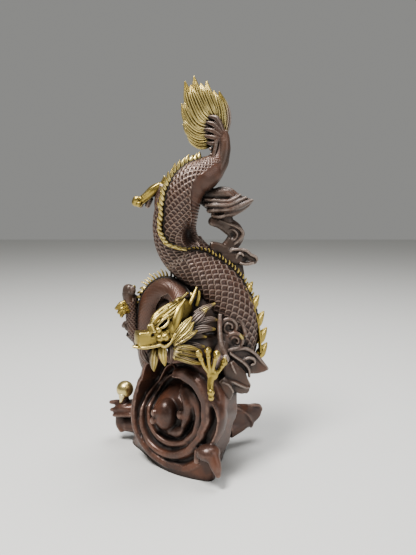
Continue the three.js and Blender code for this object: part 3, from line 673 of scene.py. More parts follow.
def scaly_skin(first, last, scales_round, ring_step, sides, height):
    """The body's skin between two stations, with its scales, belly plates and smooth places."""
    shares, distance = even_shares(BODY[:, :3], ring_step, first / LAST_STATION, last / LAST_STATION)
    centre, _, wide, thick, size = body_frame(shares)
    station = (shares * LAST_STATION)[:, None]
    angle = (np.arange(sides) / sides * 2 * np.pi)[None, :]
    length = 2 * np.pi * size.mean(1) / scales_round
    along = np.concatenate([[0], np.cumsum(np.diff(distance) / length[1:])])
    around_grid, along_grid = np.meshgrid(scales_round * angle[0] / (2 * np.pi), along)
    scales = even_scale_lift(around_grid, along_grid, length[:, None])
    scales = scales * np.interp(station, *zip(*height)) * smooth_share(station, *SCALES_START)
    belly_middle = np.radians(np.interp(station, *BELLY_MIDDLE))
    belly_half = np.interp(station, *BELLY_HALF)
    off = from_angle(angle, belly_middle)
    belly = smooth_share(belly_half + 4 - off, -3, 3)
    plated = smooth_share(station, *PLATES_START)
    border = np.exp(-(((off - belly_half - 5) / 5) ** 2)) * np.interp(station, *BELLY_BORDER)
    plate = (distance[:, None] / PLATE_PITCH + off / 70) % 1
    plates = 0.6 * np.minimum(1, np.minimum(plate, 1 - plate) / 0.22) - 0.9
    hip = 0.9 * np.exp(-(((station - HIP_STATION) / 0.9) ** 2)) + 0.12 * np.sin(distance[:, None] * 0.9)
    crest = smooth_share(from_angle(angle, np.pi / 2), 4, 8)
    lift = scales * (1 - belly) * crest + belly * (plated * plates + (1 - plated) * hip) + 0.55 * border
    sunk = 2.0 * np.exp(-(((station - BURIED_STATION) / 0.75) ** 2))
    reach = size[:, None, :] + (lift - sunk)[:, :, None] - 0.35
    rings = (
        centre[:, None, :]
        + (np.cos(angle) * reach[:, :, 0])[:, :, None] * wide[:, None, :]
        + (np.sin(angle) * reach[:, :, 1])[:, :, None] * thick[:, None, :]
    )
    return skin(rings, centre[0], centre[-1])


def dent_form(form, centre, size, inward):
    """The form pressed inward about a centre."""
    points, triangles = form
    return points + nearness(points, centre, size)[:, None] * np.array(inward, float), triangles


# ---- The crest along the back ----------------------------------------------------------------------
BACK_SHARES, _ = even_shares(BODY[:, :3], 0.3)
BACK_CENTRE, _, BACK_WIDE, BACK_OUT, BACK_SIZE = body_frame(BACK_SHARES)
BACK_LINE = BACK_CENTRE + BACK_OUT * BACK_SIZE[:, 1:2]
BACK_DISTANCE = np.concatenate([[0], np.cumsum(np.linalg.norm(np.diff(BACK_LINE, axis=0), axis=1))])


def back_distance(station):
    return float(np.interp(station / LAST_STATION, BACK_SHARES, BACK_DISTANCE))


def at_distance(values, distance):
    return np.array([np.interp(distance, BACK_DISTANCE, values[:, k]) for k in range(3)])


def on_back(distance, rise, aside=0.0):
    """The point at a distance along the back toward the head, raised off it and moved aside."""
    return (
        at_distance(BACK_LINE, distance)
        + unit(at_distance(BACK_OUT, distance)) * rise
        + unit(at_distance(BACK_WIDE, distance)) * aside
    )


# Teeth as [toward the head, rise, half width, half thickness], drawn from root to tip.
FLAME = [[1.2, -0.8, 1.2, 1.0], [0.6, 1.0, 1.5, 1.05], [-0.9, 2.6, 1.15, 0.75], [-2.9, 4.1, 0.3, 0.3]]
STUB = [[0.5, -0.8, 0.8, 0.8], [0.3, 0.8, 0.95, 0.8], [-0.3, 2.0, 0.75, 0.6], [-1.2, 2.9, 0.3, 0.3]]
SPIKE = [[0.3, -0.8, 0.75, 0.7], [0.2, 1.6, 0.8, 0.65], [-0.2, 3.4, 0.6, 0.5], [-0.9, 5.2, 0.22, 0.22]]
# The large fins at the outer bend: the tip of each [x, y, z] and its size.
FIN_TIPS = [[27.6, 5, 116.0, 0.75], [31.4, 5, 107.2, 1], [35.0, 7.4, 96.4, 1], [37.0, 8.6, 85.6, 1],
            [37.4, 8.6, 75.6, 0.95]]
# A fin's shape from its root: [x, y, z from the tip, half width, half thickness], for size 1.
FIN_SHAPE = [[-6.0, -3.4, -8.6, 2.6, 1.7], [-3.9, -2.6, -5.4, 3.6, 2.0], [-1.3, -1.1, -2.0, 2.3, 1.6],
             [0.4, 0, 0.2, 0.8, 0.7]]

# Runs of teeth: [first station, last station, pitch, tooth, scale].
CREST_RUNS = [[3.5, 9.0, 2.9, FLAME, 1.0], [9.0, 12.1, 2.5, STUB, 0.95], [17.6, 20.2, 3.4, STUB, 1.3],
              [20.2, 22.9, 2.1, SPIKE, 0.95]]
# The section of the band that the teeth stand on: [aside, rise].
BAND_SECTION = [
    [-1.9, -1.6], [-2.05, 0.1], [-1.75, 0.5], [-1.35, 0.5], [-1.1, 0.2], [-0.85, 0.55], [-0.4, 0.95],
    [0.4, 0.95], [0.85, 0.55], [1.1, 0.2], [1.35, 0.5], [1.75, 0.5], [2.05, 0.1], [1.9, -1.6],
]


def crest_teeth(first, last, pitch, tooth, scale):
    """A run of teeth between two stations, a little uneven in size and place."""
    start, end = back_distance(first), back_distance(last)
    count = max(2, round((end - start) / pitch))
    teeth = []
    for i in range(count):
        distance = start + (i + 0.5) / count * (end - start)
        size = scale * (1 + 0.14 * math.sin(2.3 * i + 1))
        aside = 0.25 * math.sin(1.7 * i)
        stations = [
            [*on_back(distance + forward * scale, rise * size, aside), wide * scale, thick * scale]
            for forward, rise, wide, thick in tooth
        ]
        upward = unit(at_distance(BACK_WIDE, distance))
        teeth.append(limb(stations, up=upward, sides=12, step=0.55, power=1.7))
    return teeth


def edge_fins():
    """The large fins, and the rail at the body's edge that they grow from."""
    fins = []
    for x, y, z, size in FIN_TIPS:
        placed = [[x + size * dx, y + size * dy, z + size * dz, size * w, size * t]
                  for dx, dy, dz, w, t in FIN_SHAPE]
        fins.append(limb(placed, up=FRONT, strands=(5, 0.3), sides=60, step=0.4, power=1.7))
    rail = [[x - 4.2, y - 4.4, z - 4, 1.2, 1.2] for x, y, z, _ in FIN_TIPS]
    fins.append(limb(rail, up=FRONT, strands=(3, 0.3), sides=36, round_root=True))
    return fins


def crest_band(first, last):
    """The beaded band that the teeth stand on."""
    distances = np.arange(back_distance(first), back_distance(last), 0.45)
    beads = 1 + 0.16 * np.sin(distances * 2 * np.pi / 2.6)
    rings = [[on_back(d, rise * (bead if rise > 0.6 else 1), aside) for aside, rise in BAND_SECTION]
             for d, bead in zip(distances, beads)]
    return skin(rings, np.mean(rings[0], 0), np.mean(rings[-1], 0))


def make_body():
    """The coils, the neck and the crest. Heights of the scales are given as (station, height)."""
    upper = scaly_skin(0, 9.3, 22, 0.43, 204, [(0, 0.5), (4, 0.9), (8, 1.0), (10, 1.0)])
    upper = dent_form(upper, *COIL_PIT)
    grid_piece("upper_coil", [upper], scale_patina, "dark_patina", passes=5, full=0.2)
    lower = scaly_skin(9.1, 15.7, 20, 0.45, 210, [(9, 1.0), (15, 1.1)])
    lower = dent_form(lower, *COIL_PIT)
    grid_piece("lower_coil", [lower], scale_patina, "dark_patina", passes=5, full=0.2)
    neck = scaly_skin(15.9, 23, 22, 0.5, 116, [(16, 0.6), (18.6, 0.5), (20, 0.4), (23, 0.4)])
    grid_piece("neck", [neck], scale_patina, "dark_patina", passes=5, full=0.3)
    teeth = [tooth for run in CREST_RUNS for tooth in crest_teeth(*run)]
    teeth += edge_fins()
    bands = [crest_band(3.4, 16.2), crest_band(17.6, 22.9)]
    grid_piece("back_crest", teeth + bands, gold_finish, "bright_gold", passes=4, full=0.3)


# ---- The tail plume --------------------------------------------------------------------------------
PLUME_LOCKS = [
    [[4, 4, 203, 2.6, 3], [-3.6, 3, 200.5, 3.2, 2.6], [-9.6, 2, 202.6, 2, 1.6],
     [-12.4, 2, 206, 0.3, 0.3]],
    [[3, 4, 206, 3, 3.4], [-4.8, 2, 204.6, 3.6, 3], [-11.4, 1, 207.6, 2.4, 2], [-14.8, 1, 212, 0.3, 0.3]],
    [[2.4, 4, 208.5, 3, 3.6], [-6, 1, 209.4, 4, 3.2], [-12.6, 1, 215.4, 2.8, 2.2],
     [-15.8, 2, 224, 0.3, 0.3]],
    [[2.4, 4, 210.8, 3, 3.6], [-5.4, 0, 214.6, 4.4, 3.4], [-10.6, 0, 225, 3.8, 2.4],
     [-13.6, 1, 236.4, 0.5, 0.5]],
    [[3.6, 4, 212.6, 3, 3.6], [-2.2, 1, 220.3, 4.4, 3.4], [-6.4, 1, 230, 3.2, 2.2],
     [-8.3, 2, 239.4, 0.5, 0.5]],
    [[5.4, 4, 212.6, 3, 3.6], [2.6, 3, 222, 4.2, 3.4], [0.2, 3, 230, 2.8, 2.2],
     [-0.8, 4, 237.2, 0.5, 0.5]],
    [[8.4, 4, 206, 3, 3.2], [10.2, 5, 214.6, 3.8, 3], [9.2, 6, 222.6, 3.6, 2.6],
     [6.8, 6, 231.6, 0.5, 0.5]],
]
SLEEVE_TIPS = [
    [-0.6, -0.6, 216.4], [-2.8, -0.2, 213.2], [-3.6, 0.2, 209.4], [-3.2, 0.8, 205.4], [-1.8, 1.8, 201.6],
]


def make_plume():
    locks = [np.array(lock, float) for lock in PLUME_LOCKS]
    fillers = []
    for first, second in zip(locks, locks[1:]):
        filler = (first + second) / 2
        filler[-1, :3] = filler[-2, :3] * 0.35 + filler[-1, :3] * 0.65
        filler[:, 1] -= 0.5
        fillers.append(filler)
    forms = limbs(locks + fillers, up=FRONT, strands=(13, 0.26), sides=84, step=1.0)

    def gilding(points):
        fan = np.linalg.norm((points - [3.4, 1, 209]) / [5.6, 9, 6.6], axis=1)
        return smooth_share(fan, 0.85, 1.3) * smooth_share(-points[:, 0], -12.6, -9.6)

    grid_piece("tail_plume", forms, part_gilt, "bright_gold", gilt=gilding, passes=5, full=0.16)
    sleeve = []
    for k, tip in enumerate(SLEEVE_TIPS):
        tip = np.array(tip)
        root = np.array([9.6 - 0.5 * k, -1.0, 206 - 0.9 * k])
        middle = (root + tip) / 2 + [0.6, -1.6, 3.4 - 1.2 * k]
        sleeve.append(limb([[*root, 1.2, 1.4], [*middle, 1.7], [*tip, 0.7, 1]],
                           up=FRONT, strands=(5, 0.25), sides=40))
    stem = [
        *limbs([
            [[9.8, -0.6, 208.4, 1.6], [9.9, 0.2, 203, 3.2, 3.4], [9.7, -0.4, 196.6, 3.5, 3.6],
             [7.8, -1.2, 189, 3.6, 3.8], [4, -3, 182, 3.4, 3.6], [0, -5, 175, 1.4, 1.6]],
            [[5.4, -1.6, 204, 1.4, 1.2], [4.4, -2.8, 198, 1.3, 1.2], [3, -3.6, 192, 1.2, 1.1],
             [0.4, -5.6, 186, 0.8]],
        ]),
    ]
    stem += [pebble(place, [half] * 3) for *place, half in (
        [2.2, -0.6, 201, 1.2], [1.6, -1.4, 197.4, 1.1], [2.0, -2.4, 194, 1.1], [0.2, -3.6, 191.4, 1.2],
        [-2.6, -5.6, 189, 1.2], [-0.2, -6.2, 188, 1.1], [2.4, -5.0, 188.4, 1.1], [-5.2, -7, 187, 1.1],
        [-2.6, -7.8, 185.4, 1.1], [0.2, -7.6, 185, 1.0], [4.4, -3.8, 186.4, 1.0])]
    fused_piece("tail_stem", sleeve + stem, patina, "dark_patina", grain=0.36, softening=1,
                passes=8, full=0.2)


# ---- The head --------------------------------------------------------------------------------------
EYE_SLIT = [[-26.7, -33.4, 97.0], [-25.5, -33.0, 98.2], [-24.3, -32.2, 99.4]]


def make_head():
    skull = limb([[-15.6, -10, 102, 7], [-20.4, -18, 97, 8], [-24, -24, 92.6, 7.6, 8]],
                 up=FRONT, round_root=True)
    dome = limb([[-31.4, -32.6, 96.6, 2.2, 2.4], [-29, -29.8, 99.6, 3.8, 3.6],
                 [-25.4, -26.4, 101.4, 4.8, 5], [-21, -22, 104, 4.4, 4.8], [-17.4, -17.6, 106.4, 2.6, 3]],
                up=FRONT, sides=96, strands=(15, 0.17))
    snout = limb([[-25, -28, 90.2, 5.4, 4.4], [-30, -31.4, 90.1, 4.6, 4.2], [-35, -34.4, 90.1, 4.5, 4.2],
                  [-39.6, -36.6, 90.3, 4.4, 4.2]], power=5, rounding=0.25, sides=48, step=0.4)
    lip = limb([[-41.6, -38.2, 86.2, 1.6, 0.85], [-35.4, -38.8, 85.7, 1.9, 0.95],
                [-29.6, -37.2, 86.1, 1.7, 0.95], [-26.9, -36.2, 86.5, 1.5, 0.95],
                [-24.6, -35.2, 85.3, 1.5, 1], [-22.3, -33.6, 86.2, 1.3, 1], [-20.4, -31.6, 88, 1],
                [-18.8, -30, 91, 0.9]], power=2.6, round_root=True)
    nose = [
        *limbs([
            [[-33, -35.2, 97, 1.3], [-32.2, -36.2, 94.2, 1.4]],
            [[-31.4, -34.6, 97.6, 1.1, 1.2], [-30.2, -36.4, 94.2, 1.4]],
        ], round_root=True),
        *pebbles([-28, -34.4, 94.4, 2, 1.8, 1.9], [-31.2, -33.4, 95.4, 2.6, 2.4, 2.4]),
    ]
    cheeks = [
        *pebbles([-24.2, -33.2, 90.2, 2.6, 2.6, 2.6], [-27.4, -34.6, 89.8, 2.6, 2.2, 2.4],
                 [-21.4, -30, 89.2, 2, 2, 3]),
    ]
    lids = [
        *limbs([
            [[-29, -34, 95.8, 0.6, 0.8], [-27.6, -34, 98, 0.9, 1.1], [-25.2, -33.2, 100.4, 1, 1.2],
             [-22.5, -31, 102.2, 0.7, 0.8]],
            [[-27.8, -34.2, 95.6, 0.8, 0.9], [-24.6, -33.4, 96.5, 1, 1.1], [-22.8, -32, 98.6, 0.9, 1],
             [-22.2, -30.6, 101.2, 0.6, 0.8]],
        ], up=FRONT),
        pebble([-25.4, -31.6, 98.2], [2.4, 1.6, 1.9]),
    ]
    furrows = [
        limb([[-31.8 + k, -35 + 0.8 * k, 98.2 + 0.3 * k, 0.5, 0.6],
              [-28.6 + k, -32.6 + 0.8 * k, 102.2 - 0.1 * k, 0.6, 0.7],
              [-23 + k, -28 + 0.8 * k, 106 - 0.6 * k, 0.5, 0.6]], up=FRONT)
        for k in (0, 1.5, 3.0)
    ]
    horn = limb([[-21.6, -22, 103.6, 2.6, 2.4], [-19.3, -19.6, 107, 1.8, 1.7], [-17.7, -17, 109.2, 1.2],
                 [-15.3, -14.6, 109.8, 0.9], [-12.4, -11, 112.2, 0.5]], strands=(6, 0.16), sides=48)
    spots = [(np.array(p), 0.75) for p in EYE_SLIT] + [(np.array([-30.8, -37.0, 92.3]), 0.8),
                                                      (np.array([-28.6, -36.0, 96.2]), 0.5)]

    def gilding(points):
        dark = np.zeros(len(points))
        for spot, radius in spots:
            dark = np.maximum(dark, nearness(points, spot, [radius, 2.0, radius]))
        return 1 - smooth_share(dark, 0.3, 0.8)

    fused_piece(
        "head", [skull, dome, snout, lip, *nose, *cheeks, *lids, *furrows, horn],
        part_gilt, "bright_gold", grain=0.33, softening=1, gilt=gilding,
        dents=[(p, [0.9, 2, 0.7], 1.1) for p in EYE_SLIT] + [([-30.7, -37.4, 92.2], [0.8, 2, 0.9], 1.3)],
        passes=9, full=0.2)
    chin = [
        limb([[-26.2, -31, 86.4, 2.6, 2.4], [-25.8, -33.4, 81, 2.5, 2], [-25.2, -33, 76.6, 1.8, 1.5],
              [-24.6, -32.2, 73.6, 0.7]], up=FRONT, strands=(7, 0.2), sides=56),
    ]
    grid_piece("chin_lock", chin, gold_finish, "bright_gold", passes=5, full=0.2)
    beard = [
        limb([[-24, -26, 86, 4, 3.6], [-21.6, -30.4, 83, 1.9], [-21.4, -31.2, 79, 1.9, 1.7],
              [-21.3, -30.6, 74.8, 0.8]], up=FRONT, strands=(6, 0.2), sides=48),
        limb([[-29, -27, 85, 3, 2.6], [-30.6, -30.6, 80.4, 2.4, 2], [-31.2, -30.6, 76, 2.6, 2],
              [-31.4, -29.8, 71.6, 1.6, 1.4], [-31.2, -29.4, 69.4, 0.6]],
             up=FRONT, strands=(7, 0.2), sides=48),
        *limbs([
            [[-34, -28, 85.6, 2.4], [-37.8, -29.4, 82, 1.8, 1.6], [-36.9, -28.6, 77.6, 2, 1.8],
             [-34.6, -27.4, 73.8, 0.9]],
            [[-30, -26, 84, 3], [-33.8, -28, 79.6, 1.8], [-33.4, -27.4, 75, 0.9]],
        ], up=FRONT, strands=(6, 0.2), sides=48),
    ]

    def beard_gilding(points):
        return 0.75 * smooth_share(points[:, 0], -34, -31) * (1 - smooth_share(points[:, 0], -27, -23))

    grid_piece("beard", beard, part_gilt, "dark_patina", gilt=beard_gilding, passes=5, full=0.2)


def make_ear_and_antlers():
    ear = limb([[-19.9, -28.4, 90.4, 1.2, 1.4], [-19.8, -28.2, 94, 2.5, 1.9],
                [-18.8, -26.8, 99, 3.4, 2.1], [-16.8, -24, 104, 2.9, 1.8], [-14.4, -20.4, 108, 1.4, 1.2],
                [-13.6, -19.2, 109.6, 0.6]], up=FRONT, power=1.6, sides=40)
    antlers = [
        limb([[-15.4, -16, 100.6, 1.8], [-12.6, -13, 103.2, 1.6], [-10.3, -12, 106.8, 1.3],
              [-8.2, -9.4, 111.4, 1.3, 1.2], [-6, -6, 116.2, 0.6]], strands=(6, 0.2), sides=42),
        *limbs([
            [[-9.8, -11, 107.4, 1.2], [-10.2, -9.4, 111.4, 0.5]],
            [[-7.2, -9.4, 103.4, 1.4], [-5.9, -8.6, 107.6, 1.3, 1.2], [-5.3, -7.4, 111.6, 1],
             [-5.2, -7, 113, 0.6]],
        ]),
    ]
    fused_piece("ear_and_antlers", [ear, *antlers], gold_finish, "bright_gold", grain=0.32, softening=1,
                passes=8, full=0.25)


# Locks of the mane: stations [x, y, z, half width, half thickness], then how much of it is gilt.
MANE_LOCKS = [
    [[[-20.8, -30.2, 86.6, 1.2, 1.4], [-16.8, -29, 91.6, 2.4, 1.8], [-12.8, -26.4, 96, 2.4, 1.8],
      [-9.6, -23.2, 99.4, 0.7, 0.7]], 1.0],
    [[[-20.2, -30.4, 85.6, 1.2, 1.4], [-15.4, -28.8, 89.6, 2.3, 1.8], [-11.2, -26, 93.2, 2.2, 1.7],
      [-8.4, -23.2, 96.4, 0.6, 0.6]], 1.0],
    [[[-19.8, -30.6, 84.6, 1.2, 1.4], [-14.6, -28.8, 87.6, 2.0, 1.7], [-10, -26, 90, 1.8, 1.5],
      [-6.4, -23.4, 91.6, 0.6, 0.6]], 0.6],
    [[[-16, -21, 91, 2, 2], [-9.6, -19.4, 95.2, 2.7, 2.2], [-5.2, -18, 99, 2.9, 2.0],
      [-1.4, -15.4, 102.2, 0.9, 0.9]], 0.0],
    [[[-16, -23, 88.6, 2, 2], [-9.4, -21, 90.4, 2.5, 2.1], [-3, -18.8, 91.7, 2.6, 2.0],
      [3.9, -15.4, 90.6, 0.9, 0.9]], 0.0],
    [[[-8, -15, 99.6, 1.8, 1.8], [-3.2, -14, 102.4, 2.0, 1.7], [0.6, -13, 104.0, 1.6, 1.4],
      [4.2, -11.6, 105.6, 0.5, 0.5]], 0.0],
    [[[-12, -20, 93, 1.8, 1.8], [-5, -17.6, 95.4, 2.2, 1.8], [1.6, -14, 96.4, 1.8, 1.5],
      [6.2, -12, 95.2, 0.6, 0.6]], 0.0],
    [[[-14, -22, 86.4, 1.8, 1.8], [-7, -20, 87.6, 2.0, 1.7], [-1.2, -18, 86.6, 0.7, 0.7]], 0.1],
    [[[-20.6, -30.2, 82.6, 1.4, 1.4], [-15.6, -29.6, 83.2, 1.9, 1.6], [-9.9, -27.6, 82.2, 1.8, 1.5],
      [-4.4, -26.2, 80.2, 0.7, 0.7]], 0.7],
    [[[-20.2, -29.6, 80.6, 1.4, 1.4], [-14.4, -29, 80, 1.8, 1.5], [-9, -27.6, 78.4, 1.7, 1.4],
      [-4, -27, 77, 0.6, 0.6]], 0.5],
    [[[-20.4, -30, 78.2, 1.5, 1.4], [-14, -29.8, 76.4, 1.9, 1.6], [-9.1, -28.6, 74.4, 1.7, 1.5],
      [-3.8, -27.4, 72.8, 0.6, 0.6]], 0.6],
    [[[-16, -24, 84, 2.4, 2.4], [-8, -23, 82.6, 2.2, 2], [-2.4, -21, 81.4, 0.8, 0.8]], 0.0],
]
MANE_SPRIGS = [[-15.4, -31.4, 83.8], [-15.2, -31.8, 81], [-16.2, -31.8, 78.6], [-18.8, -32, 76.6]]


def make_mane():
    beds = [
        *limbs([
            [[-16, -8, 98, 9, 6], [-7, -3, 98, 12, 6], [5, -1, 91, 12, 6]],
            [[-18, -17, 83, 6, 5], [-6, -13, 80, 7, 6], [6, -7, 78, 7, 6]],
            [[-18, -26, 82, 4, 2.6], [-8, -24, 78, 4, 2.6]],
        ], up=FRONT, round_root=True),
        limb([[-33, 9, 92, 4, 3], [-27, 6, 100, 5, 3], [-21, 1, 103, 4, 3]], up=FRONT),
    ]
    fused_piece("mane_bed", beds, patina, "dark_patina", grain=0.95, passes=6, full=0.3)
    for name, slot, low, high in (
        ("gilt_mane", "bright_gold", 0.9, 1.1),
        ("brushed_mane", "bright_gold", 0.4, 0.9),
        ("dark_mane", "dark_patina", -0.1, 0.4),
    ):
        locks = [limb(stations, up=FRONT, strands=(9, 0.34), sides=64, step=0.62, power=1.8)
                 for stations, share in MANE_LOCKS if low <= share < high]
        tips = [stations[-1][:3] for stations, share in MANE_LOCKS if low <= share < high]
        if name == "brushed_mane":
            locks += [limb([[-20.8, -29.8, 80.8, 1.2, 1.3],
                            [*((np.array([-20.8, -30.4, 80.8]) + tip) / 2), 1, 1.1], [*tip, 0.4]],
                           up=FRONT, sides=20) for tip in MANE_SPRIGS]

        def gilding(points, tips=tips, full=high > 1, part=low > 0):
            tip_shine = np.max([np.exp(-((points - tip) ** 2).sum(1) / 3.5) for tip in tips], axis=0)
            if full:
                return np.ones(len(points))
            streaks = 0.5 + 0.5 * np.sin(points[:, 2] * 2.3 + points[:, 0] * 0.7)
            return np.maximum(tip_shine, 0.25 + 0.75 * streaks if part else 0)

        grid_piece(name, locks, part_gilt, slot, gilt=gilding, passes=4, full=0.16)


# ---- Paws ------------------------------------------------------------------------------------------
def make_paws():
    arm = limb([[9, -10, 80, 4.6], [6, -22, 72.6, 3.8], [2.6, -29.6, 66.6, 2.8]])
    elbow = pebble([10.3, -22.4, 74.4], [2.5, 2.4, 2.9])
    fused_piece("near_arm", [arm, elbow], patina, "dark_patina", grain=0.5)
    palm_forms = [
        pebble([2.6, -31, 67.6], [3.3, 2.3, 3.6]),
        limb([[2.2, -31, 68, 2.4, 2], [1.3, -32.2, 62.4, 1.8, 1.6], [1.6, -33, 58.6, 1.9, 1.7],
              [1.7, -33.4, 54.6, 1.4, 1.3]]),
        *pebbles([1.7, -33.6, 57.8, 2.1, 2, 2.3], [1.8, -33.8, 54.6, 1.7, 1.7, 2]),
    ]
    for bend, knuckle, nail in [
        [[-1.9, -31.6, 72.4], [-5, -33.4, 80.4], [-6.8, -35.8, 81.6]],
        [[0.7, -32, 73], [-0.1, -33.8, 82.6], [-0.9, -36.4, 82.4]],
        [[3.2, -32, 73], [4.9, -33.4, 80.6], [5.3, -36, 78.2]],
        [[6.2, -30, 69.4], [9.2, -28.8, 74.2], [10.2, -28.6, 77.4]],
    ]:
        bend, knuckle, nail = np.array(bend), np.array(knuckle), np.array(nail)
        palm_forms.append(limb([[2.4, -31, 66.4, 1.3, 1.7], [*bend, 1.15, 1.6], [*knuckle, 1.6, 1.7]],
                               up=FRONT))
        palm_forms.append(pebble(knuckle, [2.2, 2.2, 2.2]))
        palm_forms.append(pebble(knuckle * 0.62 + bend * 0.38 - [0, 0.3, 0], [1.6, 1.7, 1.5]))
        palm_forms.append(limb([[*knuckle, 1.5], [*((knuckle + nail) / 2 + [0, -0.4, 1]), 1.2],
                                [*nail, 0.35]]))
    fused_piece("near_fore_paw", palm_forms, gold_finish, "bright_gold", grain=0.32, softening=1,
                passes=9, full=0.25)
    leg = limb([[-42, 24, 68, 4.6], [-48.4, 18, 82.2, 4.2], [-49.2, 14.6, 95.1, 3.9, 4],
                [-49.6, 13, 104, 3.9, 4]], scales=(11, 0.75), sides=132, step=0.38)
    cuff = [
        limb([[-50.2, 12.6, 102, 3.8, 4], [-51, 12, 107, 4.2, 4], [-51, 12, 110.6, 3.6]], power=2.4),
        *pebbles([-48.6, 10, 110, 2.6, 2.6, 3.2], [-50.4, 9.4, 112, 1.6, 1.6, 1.5],
                 [-49.8, 8.8, 109.4, 1.5, 1.4, 1.5]),
        *limbs([
            [[-50, 17, 84, 3.6], [-54, 17.6, 85.6, 3], [-55.6, 18, 85, 1.6]],
            [[-52, 19, 80, 3.4, 3], [-49, 21, 76, 3.6, 3]],
        ]),
    ]
    grid_piece("far_fore_leg", [leg], scale_patina, "dark_patina", passes=5, full=0.22)
    fused_piece("far_cuff_and_elbow", cuff, patina, "dark_patina", grain=0.42, passes=7, full=0.2)
    claws = [
        limb([[-49, 11.4, 111.6, 1.6, 1.4], [-46.9, 10.2, 112.2, 1.3, 1.2]], power=3, rounding=0.4),
        limb([[-44.6, 14, 104.4, 1], [-43, 13.4, 107.2, 1.2, 1.1], [-42.3, 13, 109.2, 1.2]]),
    ]
    for root, middle, tip in [
        [[-50, 12, 102.6], [-55.4, 9.6, 101.2], [-59.0, 8, 98.2]],
        [[-50, 12, 99.6], [-55.0, 9.4, 98.0], [-57.4, 8.2, 95.4]],
        [[-50, 12, 96.8], [-53.8, 9.2, 96.2], [-55.6, 7.8, 93.2]],
    ]:
        claws.append(limb([[*root, 1.9], [*middle, 1.6, 1.7], [*tip, 1]], power=2.4, rounding=0.5))
        claws.append(pebble(middle, [2.0, 1.9, 1.8]))
    fused_piece("far_fore_claws", claws, gold_finish, "bright_gold", grain=0.3, softening=1,
                passes=9, full=0.25)
    thigh = limb([[-24, 8, 152, 6], [-28.6, 11, 164, 4.6], [-28.6, 12, 175, 3.4]],
                 scales=(14, 0.5), sides=126, step=0.42)
    grid_piece("hind_leg", [thigh], scale_patina, "dark_patina", passes=5, full=0.25)
    toes = [limb([[x + 1, 14, 168.6, 2.2], [x - 1, 16, 163.4, 1.7]]) for x in (-42, -37.4)]
    fused_piece("hind_toes", toes, patina, "dark_patina", grain=0.4)
    foot = [
        limb([[-28, 12, 176, 3], [-33.8, 12, 173.2, 3.7, 3.5], [-39, 13, 169.2, 2.9, 2.8],
              [-43.4, 13, 166.2, 2.7, 2.6], [-45.4, 13, 166, 3.3, 3]]),
        *pebbles([-44.8, 11.6, 167.2, 2.6, 2.4, 2.6], [-43.4, 11.2, 164.6, 2.2, 2, 2]),
        *limbs([
            [[-30, 10.2, 177, 1.2], [-35, 9.6, 174.2, 1.2, 1], [-40.6, 10.6, 169.8, 0.9]],
            [[-29, 11, 175, 1.9], [-27, 10, 181.8, 0.6]],
        ]),
    ]
    fused_piece("hind_foot", foot, gold_finish, "bright_gold", grain=0.35, softening=1,
                passes=9, full=0.3)


